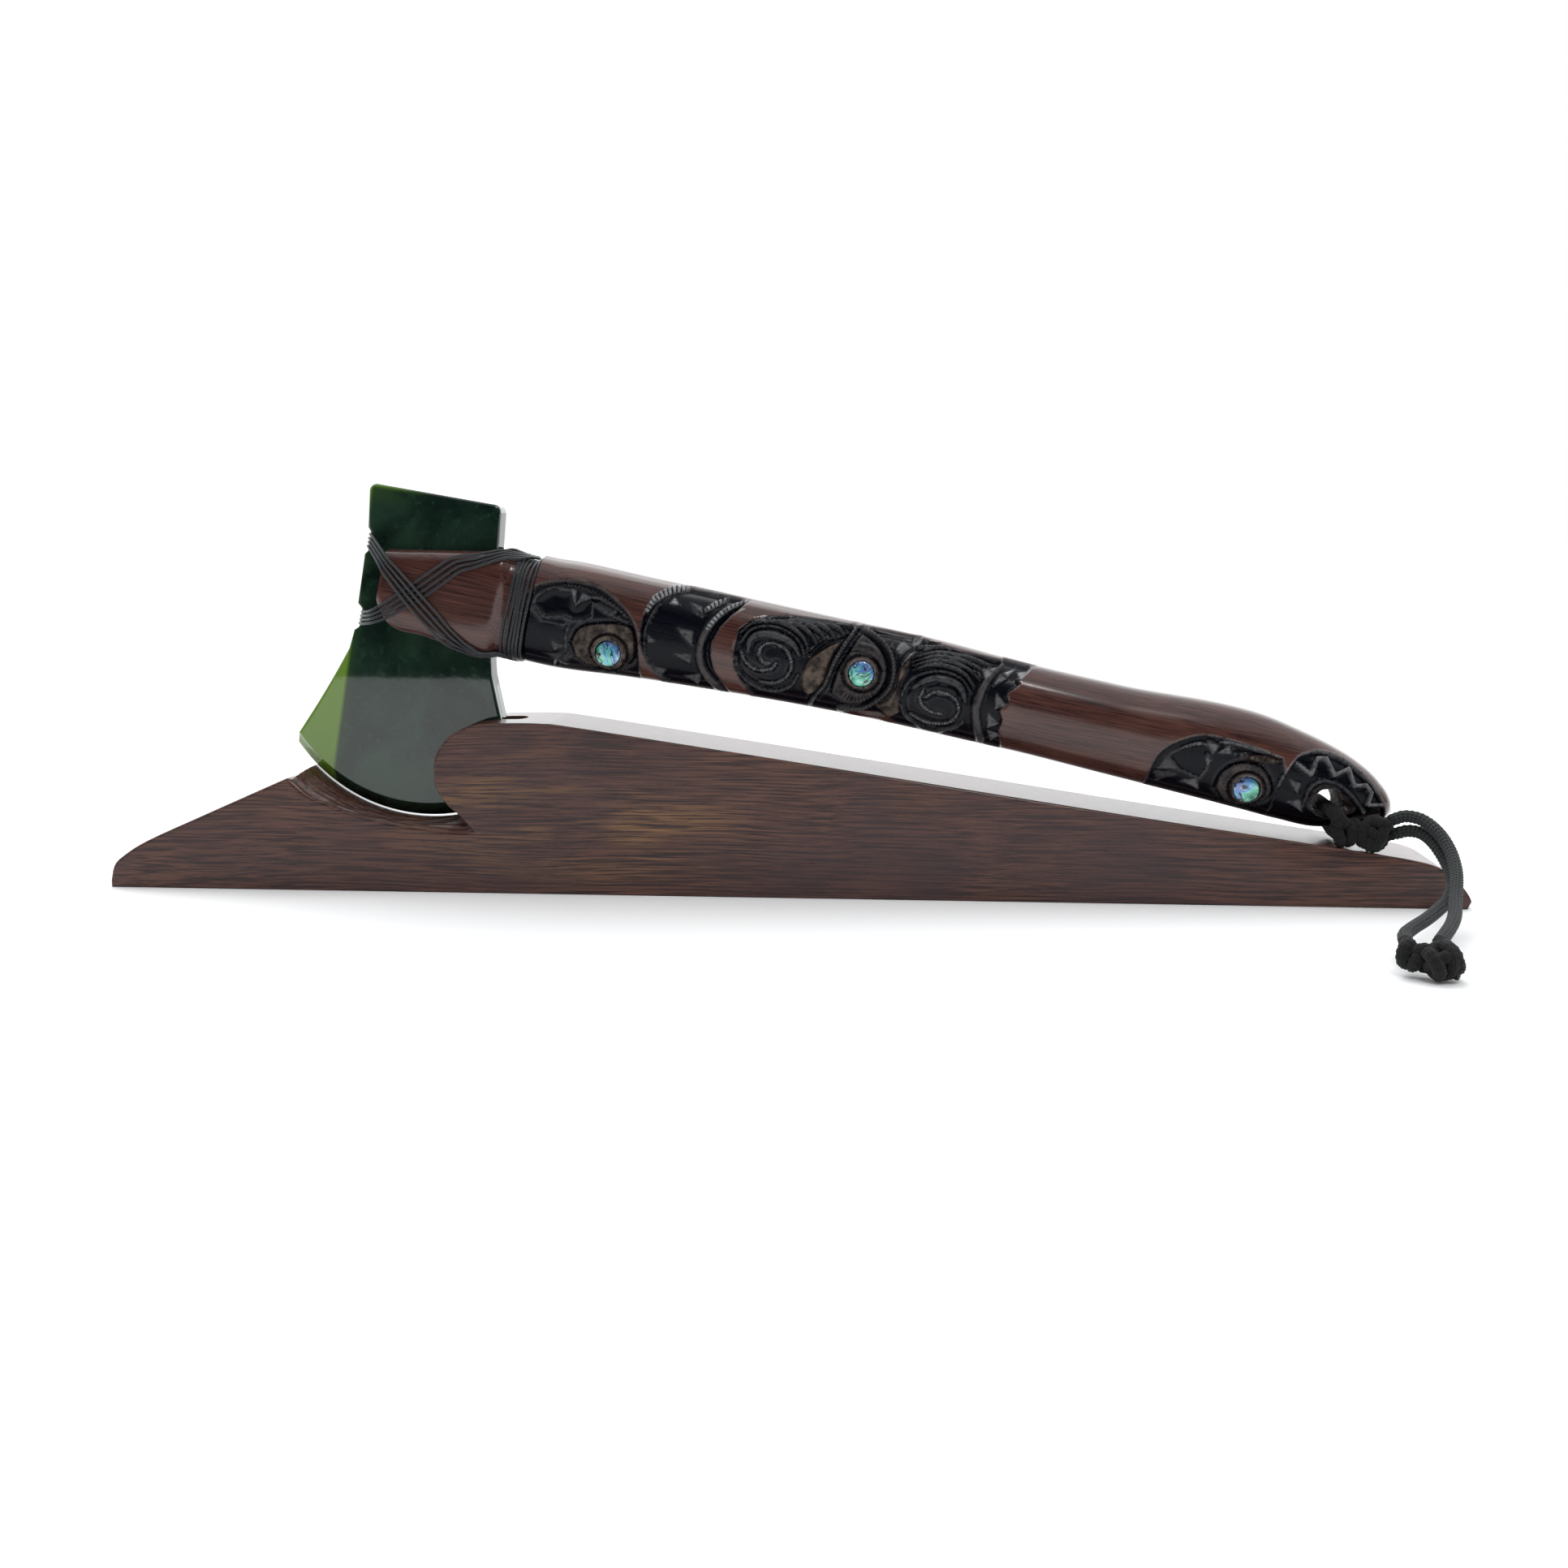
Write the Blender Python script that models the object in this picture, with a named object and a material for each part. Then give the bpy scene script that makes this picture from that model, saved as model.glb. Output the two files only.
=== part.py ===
"""A flat greenstone blade lashed into a carved wooden handle, resting in its slotted wooden stand.

The handle is drawn in its own plane: "along" runs from the head to the butt and "up" is square to it,
both in millimetres. The blade is drawn from its poll downwards: "side" across it and "down" along it.
The axe lies in the stand with its curved edge in the bed and its cord hitch on the sloping top.
"""

import math

import bmesh
import bpy
import numpy as np
from mathutils import Vector

# Driving sizes, in millimetres
MM = 0.001
FIT_GAP = 0.3

BLADE_LENGTH = 110.8
BLADE_THICKNESS = 10.0
POLL_HALF_WIDTH = 22.8
EDGE_RADIUS = 56.3
EDGE_CENTRE_SIDE = 3.7
EDGE_TOE_SIDE = -37.1
EDGE_HEEL_SIDE = 43.0
EDGE_BEVEL = 4.8
FLARE_SLOPE = 0.3
EDGE_FLAT = 0.6
BLADE_ARRIS = 0.8
UPPER_NICK_DEPTH = 1.6
LOWER_NICK_DEPTH = 2.3
NICK_SLOPE = 1.6
UPPER_NICK_DOWN = 19.6
LOWER_NICK_DOWN = 45.8
FLARE_DOWN = 53.0
WAIST_SIDE = 26.3
SHANK_SIDE = 21.6
BLADE_LEAN = 2.6

HANDLE_LENGTH = 348.5
BODY_DEPTH = 29.0
CHEEK_WALL = 6.9
HEAD_DEPTH = BLADE_THICKNESS + 2 * (FIT_GAP + CHEEK_WALL)
POLL_ALONG = 12.0
POLL_UP = 33.6
CARVING_DEPTH = 1.3
LANYARD_ALONG = 325.6
LANYARD_UP = -0.6
LANYARD_RADIUS = 5.1

SHELL_RADIUS = 4.2
SHELL_THICKNESS = 1.6
SHELL_SINK = 0.25

STRAND = 1.25
BAND_STRANDS = 4
BAND_HALF_WIDTH = BAND_STRANDS * STRAND / 2
NECK_TURNS = 6
NECK_MIDDLE = 48.2
LASHING_GAP = 0.7

CORD_DIAMETER = 4.0
HITCH_RADIUS = 5.7
KNOT_RADIUS = 7.4

STAND_DEPTH = 36.0
NOSE_HEIGHT = 58.4
TAIL_HEIGHT = 16.4
BED_FLOOR = 23.8
BED_FROM_TOE = 109.3
BED_DISH = 1.6
TAIL_BEYOND_BUTT = 28.0
STAND_ARRIS = 0.8
SLOT_BEYOND_CENTRE = 36.7
SLOT_END_RADIUS = 5.0
NOSE_TOP_END = 46.7
TAIL_TOP_END = 21.4
DESIGN_TILT = math.radians(12.5)

# Where the blade's edge circle has its centre, in the handle's plane
LEAN = math.radians(BLADE_LEAN)
EDGE_CENTRE_DOWN = BLADE_LENGTH - EDGE_RADIUS


def blade_to_handle(side, down):
    """A point of the blade, in the handle's plane."""
    along = POLL_ALONG + side * math.cos(LEAN) + down * math.sin(LEAN)
    up = POLL_UP + side * math.sin(LEAN) - down * math.cos(LEAN)
    return along, up


PIVOT = blade_to_handle(EDGE_CENTRE_SIDE, EDGE_CENTRE_DOWN)
REACH = (HANDLE_LENGTH - PIVOT[0]) * math.cos(DESIGN_TILT)
STAND_LENGTH = BED_FROM_TOE + REACH + TAIL_BEYOND_BUTT
BED_RADIUS = EDGE_RADIUS + FIT_GAP
BED_X = BED_FROM_TOE - STAND_LENGTH / 2
BED_Z = BED_FLOOR + BED_RADIUS


# Materials

def principled(name, colour, roughness, metallic=0.0):
    """A plain material with the piece's own colour and gloss."""
    material = bpy.data.materials.new(name)
    material.use_nodes = True
    shader = material.node_tree.nodes["Principled BSDF"]
    shader.inputs["Base Color"].default_value = (*colour, 1.0)
    shader.inputs["Roughness"].default_value = roughness
    shader.inputs["Metallic"].default_value = metallic
    return material


# Meshes

def add_object(name, mesh, material, sharp_degrees=35.0):
    """An object for one piece, with its mesh shaded smooth between its sharp edges."""
    piece = bpy.data.objects.new(name, mesh)
    bpy.context.scene.collection.objects.link(piece)
    if material:
        mesh.materials.append(material)
        mesh.shade_smooth()
        mesh.set_sharp_from_angle(angle=math.radians(sharp_degrees))
    return piece


def mesh_from_rings(name, rings, closed=False):
    """A closed body through rings of points in metres: caps at both ends, or joined into a loop."""
    body = bmesh.new()
    loops = [[body.verts.new(point) for point in ring] for ring in rings]
    pairs = list(zip(loops, loops[1:]))
    if closed:
        pairs.append((loops[-1], loops[0]))
    for one, two in pairs:
        for k in range(len(one)):
            m = (k + 1) % len(one)
            body.faces.new((one[k], one[m], two[m], two[k]))
    if not closed:
        body.faces.new(loops[0])
        body.faces.new(loops[-1])
    bmesh.ops.recalc_face_normals(body, faces=body.faces)
    mesh = bpy.data.meshes.new(name)
    body.to_mesh(mesh)
    body.free()
    return mesh


def add_cutter(name, mesh):
    """A hidden solid that only cuts."""
    cutter = add_object(name, mesh, None)
    cutter.hide_render = True
    cutter.display_type = "WIRE"
    return cutter


def boolean(piece, other, operation):
    """Cut another solid out of a piece, or join it on."""
    modifier = piece.modifiers.new(other.name, "BOOLEAN")
    modifier.operation = operation
    modifier.solver = "EXACT"
    modifier.use_self = operation == "UNION"
    modifier.object = other


def arc(start, middle, end, count):
    """Points on the circle through three points, from the first to the last."""
    (ax, ay), (bx, by), (cx, cy) = start, middle, end
    d = 2 * (ax * (by - cy) + bx * (cy - ay) + cx * (ay - by))
    ux = ((ax**2 + ay**2) * (by - cy) + (bx**2 + by**2) * (cy - ay) + (cx**2 + cy**2) * (ay - by)) / d
    uy = ((ax**2 + ay**2) * (cx - bx) + (bx**2 + by**2) * (ax - cx) + (cx**2 + cy**2) * (bx - ax)) / d
    radius = math.hypot(ax - ux, ay - uy)
    first = math.atan2(ay - uy, ax - ux)
    turn = (math.atan2(cy - uy, cx - ux) - first) % (2 * math.pi)
    passing = (math.atan2(by - uy, bx - ux) - first) % (2 * math.pi)
    if passing > turn:
        turn -= 2 * math.pi
    angles = [first + turn * k / (count - 1) for k in range(count)]
    return [(ux + radius * math.cos(t), uy + radius * math.sin(t)) for t in angles]


def smooth_through(points, count):
    """Points on a smooth open curve that passes through a few chosen points."""
    chosen = np.array(points, float)
    padded = np.vstack([2 * chosen[0] - chosen[1], chosen, 2 * chosen[-1] - chosen[-2]])
    places = np.linspace(0, len(chosen) - 1, count)
    found = []
    for place in places:
        k = min(int(place), len(chosen) - 2)
        t = place - k
        a, b, c, d = padded[k:k + 4]
        curve = b + 0.5 * t * (c - a + t * (2 * a - 5 * b + 4 * c - d + t * (3 * (b - c) + d - a)))
        found.append(tuple(curve))
    return found


# Handle: its outline, from the head to the butt

HEAD_HALF = HEAD_DEPTH / 2
BODY_HALF = BODY_DEPTH / 2
NECK_END = 56.0

# Each row: along, top, bottom, half depth, squareness of the section
SECTIONS = np.array([
    (0.3, 12.1, -7.0, HEAD_HALF - 0.5, 6.0),
    (4.2, 12.9, -12.3, HEAD_HALF, 6.0),
    (18.0, 15.7, -14.3, HEAD_HALF, 6.0),
    (34.0, 18.8, -16.1, HEAD_HALF, 5.0),
    (40.0, 19.9, -16.3, HEAD_HALF, 4.0),
    (43.0, 19.3, -14.9, HEAD_HALF - 1.1, 3.2),
    (53.3, 19.5, -14.7, HEAD_HALF - 1.1, 3.0),
    (NECK_END, 21.7, -15.2, BODY_HALF * 0.93, 2.8),
    (66.0, 22.4, -14.9, BODY_HALF * 0.99, 2.8),
    (87.0, 22.5, -12.8, BODY_HALF, 2.8),
    (123.0, 23.0, -10.2, BODY_HALF, 2.8),
    (150.0, 23.2, -8.7, BODY_HALF * 0.99, 2.7),
    (185.0, 23.5, -7.9, BODY_HALF * 0.98, 2.6),
    (220.0, 22.3, -7.9, BODY_HALF * 0.95, 2.5),
    (250.0, 22.2, -8.5, BODY_HALF * 0.95, 2.5),
    (287.0, 23.8, -9.3, BODY_HALF * 0.98, 2.6),
    (300.0, 23.2, -9.7, BODY_HALF, 2.6),
    (312.0, 21.1, -10.1, BODY_HALF, 2.6),
    (324.0, 18.3, -10.0, BODY_HALF * 0.98, 2.6),
    (333.0, 15.2, -7.9, BODY_HALF * 0.91, 2.5),
    (341.0, 10.8, -5.0, BODY_HALF * 0.78, 2.4),
    (346.0, 6.2, -2.3, BODY_HALF * 0.55, 2.3),
    (348.5, 2.0, -0.2, BODY_HALF * 0.16, 2.2),
])


def section(along):
    """Top, bottom, half depth and squareness of the handle at a place, on a smooth curve through the rows."""
    rows = SECTIONS
    k = int(np.clip(np.searchsorted(rows[:, 0], along) - 1, 0, len(rows) - 2))
    width = rows[k + 1, 0] - rows[k, 0]
    t = (along - rows[k, 0]) / width
    slope = (rows[1:, 1:] - rows[:-1, 1:]) / np.diff(rows[:, 0])[:, None]
    before = slope[max(k - 1, 0)]
    after = slope[min(k + 1, len(slope) - 1)]
    here = slope[k]
    start = np.where(before * here > 0, (before + here) / 2, 0.0)
    end = np.where(after * here > 0, (after + here) / 2, 0.0)
    ease = t * t * (3 - 2 * t)
    return (
        rows[k, 1:] * (1 - ease) + rows[k + 1, 1:] * ease
        + width * (start * t * (1 - t) ** 2 - end * t * t * (1 - t))
    )


def skin(along, angle):
    """Depth, up and outward direction of the uncarved surface: angle 0 is the front, 90 degrees the top."""
    top, bottom, half_depth, power = section(along)
    half_height = (top - bottom) / 2
    c, s = math.cos(angle), math.sin(angle)
    reach = (abs(c / half_depth) ** power + abs(s / half_height) ** power) ** (-1 / power)
    depth, rise = -reach * c, reach * s
    out_depth = math.copysign(abs(depth / half_depth) ** (power - 1) / half_depth, depth)
    out_up = math.copysign(abs(rise / half_height) ** (power - 1) / half_height, rise)
    size = math.hypot(out_depth, out_up)
    return depth, (top + bottom) / 2 + rise, out_depth / size, out_up / size


def front_depth(along, up):
    """How far the uncarved front stands from the middle plane at a place."""
    top, bottom, half_depth, power = section(along)
    share = abs(up - (top + bottom) / 2) / ((top - bottom) / 2)
    return half_depth * max(1 - share**power, 0.0) ** (1 / power)


def stretched(along):
    """The handle past its neck is drawn to the rows' last place, and follows the handle's length."""
    if along <= NECK_END:
        return along
    return NECK_END + (along - NECK_END) * (HANDLE_LENGTH - NECK_END) / (SECTIONS[-1, 0] - NECK_END)


# Handle: the carving, as heights over the uncarved surface

class Carving:
    """Heights at many places of the handle, carved down with outlines, ridges, grooves and chips."""

    def __init__(self, along, up):
        self.along = along
        self.up = up
        self.height = np.zeros_like(along)

    def distance(self, path):
        """Distance to a path of straight steps."""
        nearest = np.full_like(self.along, np.inf)
        for (ax, ay), (bx, by) in zip(path, path[1:]):
            dx, dy = bx - ax, by - ay
            t = ((self.along - ax) * dx + (self.up - ay) * dy) / (dx * dx + dy * dy + 1e-9)
            t = np.clip(t, 0, 1)
            nearest = np.minimum(nearest, np.hypot(self.along - ax - t * dx, self.up - ay - t * dy))
        return nearest

    def within(self, outline):
        """Signed distance: positive inside a closed outline."""
        inside = np.zeros(self.along.shape, bool)
        for (ax, ay), (bx, by) in zip(outline, outline[1:] + outline[:1]):
            spans = (ay > self.up) != (by > self.up)
            crossing = ax + (self.up - ay) * (bx - ax) / ((by - ay) or 1e-9)
            inside ^= spans & (self.along < crossing)
        nearest = self.distance(outline + outline[:1])
        return np.where(inside, nearest, -nearest)

    def sink(self, outline, depth=CARVING_DEPTH, wall=0.9):
        """Lower everything inside an outline to an even depth."""
        share = np.clip(self.within(outline) / wall, 0, 1)
        self.height = np.minimum(self.height, -depth * share)

    def ridge(self, path, width, crest=0.0):
        """A rounded bar along a path, up to a crest height."""
        share = np.clip(1 - (self.distance(path) / (width / 2)) ** 2, 0, 1)
        self.height = np.maximum(self.height, crest - CARVING_DEPTH * 1.2 * (1 - share))

    def groove(self, path, width, depth):
        """A rounded cut along a path."""
        share = np.clip(1 - (self.distance(path) / (width / 2)) ** 2, 0, 1)
        self.height = self.height - depth * share

    def plate(self, outline, level, wall=0.8):
        """A flat raised field inside an outline."""
        share = np.clip(self.within(outline) / wall, 0, 1)
        self.height = np.maximum(self.height, level - CARVING_DEPTH * (1 - share))

    def chip(self, corners, depth):
        """A three-sided cut, deepest in its middle."""
        inward = self.within(list(corners))
        deepest = max(inward.max(), 1e-6)
        self.height = self.height - depth * np.clip(inward / deepest, 0, 1)

    def disc(self, centre):
        """Distance to one place."""
        return np.hypot(self.along - centre[0], self.up - centre[1])


EYES = ((81.6, -5.2), (165.9, 7.2), (298.2, -1.7))
EYE_RINGS = ((5.6, 7.0, 9.2), (6.2, 7.6, 9.0), (5.6, 6.8, 8.6))
SPIRALS = ((133.9, 5.2), (191.0, 2.6))
SPIRAL_RADIUS = 9.6
SPIRAL_TURNS = 1.35


def carve_eye(carving, centre, rings):
    """A round boss for a shell disc: a flat bezel, a groove, and a rounded outer ring."""
    bezel, groove, outer = rings
    away = carving.disc(centre)
    ring_middle = (groove + outer) / 2
    ring = np.clip(1 - ((away - ring_middle) / ((outer - groove) / 2 + 0.3)) ** 2, 0, 1)
    raised = np.where(away < bezel, 0.3, -CARVING_DEPTH + (CARVING_DEPTH + 0.1) * ring)
    carving.height = np.where(away < outer, raised, carving.height)


def round_field(centre):
    """The outline of the sunk field round a spiral."""
    angles = [2 * math.pi * k / 18 for k in range(18)]
    radius = SPIRAL_RADIUS + 1.5
    return [(centre[0] + radius * math.cos(t), centre[1] + radius * math.sin(t)) for t in angles]


def carve_spiral(carving, centre):
    """A round plate cut by two spiral grooves that meet in its middle."""
    away = carving.disc(centre)
    plate = np.clip((SPIRAL_RADIUS - away) / 0.8, 0, 1)
    carving.height = np.maximum(carving.height, -CARVING_DEPTH * (1 - plate) - 0.1)
    steps = 34
    for start in (math.pi, 2 * math.pi):
        path = []
        for k in range(steps):
            share = k / (steps - 1)
            angle = start + share * SPIRAL_TURNS * 2 * math.pi
            radius = (SPIRAL_RADIUS - 0.7) * (1 - share) ** 0.9
            path.append((centre[0] + radius * math.cos(angle), centre[1] + radius * math.sin(angle)))
        carving.groove(path, 1.7, 0.8)


def carve_teeth(carving, path, size, depth, side):
    """A row of three-cornered cuts along one side of a path."""
    for (ax, ay), (bx, by) in zip(path, path[1:]):
        length = math.hypot(bx - ax, by - ay)
        tip = (
            (ax + bx) / 2 - side * size * (by - ay) / length,
            (ay + by) / 2 + side * size * (bx - ax) / length,
        )
        carving.chip(((ax, ay), (bx, by), tip), depth)


def carve_brow(carving, left, crown, right, floor_up):
    """A lens-shaped sunk brow over an eye: an arched rim, a facet under it and a stepped lower field."""
    rim = arc(left, crown, right, 14)
    carving.sink(rim + [(right[0], floor_up), (left[0], floor_up)])
    span = right[0] - left[0]
    facet = [
        (left[0] + 0.08 * span, left[1] + 1.5),
        (left[0] + 0.20 * span, crown[1] - 3.5),
        (left[0] + 0.42 * span, crown[1] - 2.6),
        (left[0] + 0.47 * span, crown[1] - 7.5),
        (left[0] + 0.60 * span, crown[1] - 5.0),
        (left[0] + 0.56 * span, crown[1] - 11.5),
        (left[0] + 0.38 * span, crown[1] - 14.6),
        (left[0] + 0.20 * span, crown[1] - 14.4),
    ]
    carving.plate(facet, -0.35)


def carve_toothed_band(carving, outer, inner):
    """A sunk crescent band between two arcs, with a notched rim and two rows of teeth."""
    outer_arc = arc(*outer, 12)
    inner_arc = arc(*inner, 12)
    carving.sink(outer_arc + inner_arc[::-1])
    carving.ridge(outer_arc, 1.8)
    carving.ridge(inner_arc, 2.4)
    reach = 0.55
    for k in range(1, len(inner_arc) - 2, 2):
        (ax, ay), (bx, by) = inner_arc[k], inner_arc[k + 2]
        (cx, cy), (dx, dy) = outer_arc[k], outer_arc[k + 2]
        tip = (
            (ax + bx) / 2 * (1 - reach) + (cx + dx) / 2 * reach,
            (ay + by) / 2 * (1 - reach) + (cy + dy) / 2 * reach,
        )
        carving.plate([(ax, ay), (bx, by), tip], -0.25, 0.5)


def carve_crest(carving, tail, crown, tip, underside):
    """The wave crest that leaves a spiral: nested ridges that run to one point."""
    upper = arc(tail, crown, tip, 12)
    lower = arc(tip, *underside, 8)
    carving.sink(upper + lower)
    for share in (0.0, 0.33, 0.66):
        ridge = [
            (p[0] * (1 - share) + q[0] * share, p[1] * (1 - share) + q[1] * share)
            for p, q in zip(upper[::2], [tail] + lower[::-1][:5])
        ]
        carving.ridge(ridge, 1.6, -0.1)


def carve_handle(along, up):
    """All the carving of one face of the handle."""
    carving = Carving(along, up)

    # First face: brow and eye beside the neck binding
    carve_brow(carving, (49.5, 2.0), (69.0, 15.8), (91.5, -3.0), -22.0)
    carve_eye(carving, EYES[0], EYE_RINGS[0])

    # Toothed crescent band, then a smooth double rim
    carve_toothed_band(
        carving,
        ((104.5, 21.5), (91.4, 6.0), (104.0, -12.5)),
        ((119.5, 20.5), (110.9, 5.0), (122.5, -10.5)),
    )
    carving.groove(arc((121.5, 19.5), (114.8, 5.0), (125.0, -9.0), 12), 1.3, 0.9)

    # First spiral with its crest, and the leaf that leans on it
    carving.sink(round_field(SPIRALS[0]))
    carve_crest(carving, (124.0, 10.5), (139.0, 20.6), (160.0, 21.0), ((149.5, 13.5), (143.8, 5.0)))
    carve_spiral(carving, SPIRALS[0])
    leaf_left = arc((160.0, 21.0), (144.0, 8.0), (148.3, -9.0), 10)
    leaf_right = arc((152.0, -9.0), (155.5, 6.0), (160.0, 21.0), 8)
    carving.sink(leaf_left + leaf_right)
    blade_left = arc((158.5, 18.5), (146.5, 8.0), (148.8, -5.0), 10)
    blade_right = arc((150.3, -4.0), (153.6, 5.0), (158.5, 18.5), 8)
    carving.plate(blade_left + blade_right, 0.0)
    carving.ridge(arc((160.0, 20.8), (155.2, 6.0), (151.0, -8.0), 10), 1.6)

    # Second eye inside two arcs
    carving.sink(arc((160.0, 20.6), (175.2, 8.0), (156.0, -6.0), 14) + [(154.5, 2.0)])
    carve_eye(carving, EYES[1], EYE_RINGS[1])
    carving.ridge(arc((164.0, 20.0), (175.3, 8.5), (166.0, -5.0), 12), 1.6)
    carve_teeth(carving, [(169.0, 20.5), (174.5, 20.8), (180.0, 20.8)], -4.5, 1.0, 1)
    carve_teeth(carving, [(180.5, 19.0), (178.0, 12.0)], 2.6, 1.0, 1)

    # Second spiral with its crest
    carving.sink(round_field(SPIRALS[1]))
    carve_crest(carving, (180.5, 8.8), (192.5, 18.0), (209.0, 20.2), ((203.8, 13.5), (201.2, 4.5)))
    carve_spiral(carving, SPIRALS[1])

    # Toothed band that ends the carving at the grip
    carve_toothed_band(
        carving,
        ((210.5, 20.0), (204.3, 4.5), (207.5, -9.0)),
        ((219.0, 19.5), (214.2, 4.0), (216.5, -9.0)),
    )

    # Butt end: brow, third eye, and the rim of rays round the lanyard hole
    carve_brow(carving, (266.0, -6.0), (286.0, 12.9), (308.5, 4.0), -16.0)
    carve_eye(carving, EYES[2], EYE_RINGS[2])
    rim = arc((307.5, -10.0), (322.5, 15.6), (344.5, -4.0), 16)
    carving.sink(rim + [(335.0, -16.0), (312.0, -16.0)])
    carving.ridge(arc((309.5, -9.0), (322.5, 13.9), (342.6, -4.0), 16), 1.4)
    rays = arc((311.5, -6.0), (323.0, 11.6), (341.0, -3.0), 8)
    carve_teeth(carving, rays, -4.2, -0.9, 1)
    upper_rim = arc((317.0, -1.0), (325.5, 7.2), (337.5, -3.0), 10)
    lower_rim = arc((337.5, -3.0), (327.0, -8.0), (317.0, -1.0), 8)
    carving.ridge(upper_rim + lower_rim, 2.0)
    return carving.height


# Handle: the solid

SLOT_CUT_TOP = 30.0
SLOT_CUT_BOTTOM = -24.0
SLOT_CUT_AHEAD = 12.0
AROUND = 144
CARVED_STEP = 0.7
PLAIN_STEP = 4.0
HANDLE_TRIANGLES = 4850


def handle_stations():
    """Places along the handle, close together where it is carved."""
    places = [0.3, 2.2, 4.2, 9.0, 18.0, 26.0, 34.0, 37.5, 40.0, 41.5, 43.0, 48.0, 52.5]
    stretches = ((53.3, 220.0, CARVED_STEP), (224.0, 262.0, PLAIN_STEP), (265.0, 346.0, CARVED_STEP))
    for first, last, step in stretches:
        places += list(np.arange(first, last, step))
    return places + [346.0, 347.6, SECTIONS[-1, 0]]


def handle_mesh():
    """The carved handle without its cuts: rings of skin points, moved by the carving, and thinned."""
    places = handle_stations()
    angles = [2 * math.pi * k / AROUND for k in range(AROUND)]
    surface = np.array([[(along, *skin(along, angle)) for angle in angles] for along in places])
    along, depth, up, out_depth, out_up = np.moveaxis(surface, 2, 0)
    height = carve_handle(along, up)
    facing = np.clip((np.abs(out_depth) - 0.25) / 0.35, 0, 1)
    height = height * facing
    depth = depth + out_depth * height
    up = up + out_up * height
    rings = []
    for row in range(len(places)):
        ring = [
            Vector((stretched(along[row, k]), depth[row, k], up[row, k])) * MM
            for k in range(AROUND)
        ]
        rings.append(ring)
    return mesh_from_rings("handle", rings)


def prism(name, outline, near, far):
    """A solid with an outline in the handle's plane, between two depths."""
    rings = [[Vector((x, depth, z)) * MM for x, z in outline] for depth in (near, far)]
    return mesh_from_rings(name, rings)


def disc_mesh(name, centre, radius, near, far, sides=16):
    """A round disc across the handle's plane, at a place on the handle."""
    outline = [
        (
            stretched(centre[0]) + radius * math.cos(2 * math.pi * k / sides),
            centre[1] + radius * math.sin(2 * math.pi * k / sides),
        )
        for k in range(sides)
    ]
    return prism(name, outline, near, far)


def shell_face(eye):
    """Depth of a shell disc's outer face."""
    return front_depth(*EYES[eye]) + 0.3 - SHELL_SINK


def blade_side_at(down):
    """The blade's right side at a distance down from the poll."""
    if down < FLARE_DOWN:
        return POLL_HALF_WIDTH + (WAIST_SIDE - POLL_HALF_WIDTH) * down / FLARE_DOWN
    flare = (EDGE_HEEL_SIDE - WAIST_SIDE) / (edge_down(EDGE_HEEL_SIDE) - FLARE_DOWN)
    return WAIST_SIDE + flare * (down - FLARE_DOWN)


def edge_down(side):
    """How far down the cutting edge lies at a place across the blade."""
    return EDGE_CENTRE_DOWN + math.sqrt(EDGE_RADIUS**2 - (side - EDGE_CENTRE_SIDE) ** 2)


def add_handle(material):
    """The handle, with the blade's slot, the lanyard hole and the eye pockets cut."""
    handle = add_object("handle", handle_mesh(), material, 30.0)
    thin = handle.modifiers.new("thin", "DECIMATE")
    thin.ratio = HANDLE_TRIANGLES / sum(len(face.vertices) - 2 for face in handle.data.polygons)

    corners = [
        blade_to_handle(blade_side_at(POLL_UP - up) + FIT_GAP, POLL_UP - up)
        for up in (SLOT_CUT_TOP, SLOT_CUT_BOTTOM)
    ]
    outline = [(-SLOT_CUT_AHEAD, SLOT_CUT_TOP), *corners, (-SLOT_CUT_AHEAD, SLOT_CUT_BOTTOM)]
    half_slot = BLADE_THICKNESS / 2 + FIT_GAP
    cutter = add_cutter("blade_slot_cutter", prism("blade_slot_cutter", outline, -half_slot, half_slot))
    boolean(handle, cutter, "DIFFERENCE")

    hole = disc_mesh("lanyard_hole_cutter", (LANYARD_ALONG, LANYARD_UP), LANYARD_RADIUS, -30.0, 30.0, 16)
    boolean(handle, add_cutter("lanyard_hole_cutter", hole), "DIFFERENCE")

    pocket_radius = SHELL_RADIUS + FIT_GAP
    for eye, centre in enumerate(EYES):
        floor = shell_face(eye) - SHELL_THICKNESS - FIT_GAP
        for face, sign in (("front", -1), ("back", 1)):
            name = f"eye_pocket_{face}_{eye + 1}_cutter"
            pocket = disc_mesh(name, centre, pocket_radius, sign * floor, sign * (floor + 12.0))
            boolean(handle, add_cutter(name, pocket), "DIFFERENCE")
    return handle


def add_shell_discs(material):
    """A round shell disc in each eye, on both faces."""
    discs = []
    for eye, centre in enumerate(EYES):
        outer = shell_face(eye)
        for face, sign in (("front", -1), ("back", 1)):
            name = f"shell_eye_{face}_{eye + 1}"
            mesh = disc_mesh(name, centre, SHELL_RADIUS, sign * (outer - SHELL_THICKNESS), sign * outer)
            discs.append(add_object(name, mesh, material))
    return discs


# Blade

EDGE_POINTS = 17
POLL_CORNER = 2.2
SHANK_STEP = 0.9


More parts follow.
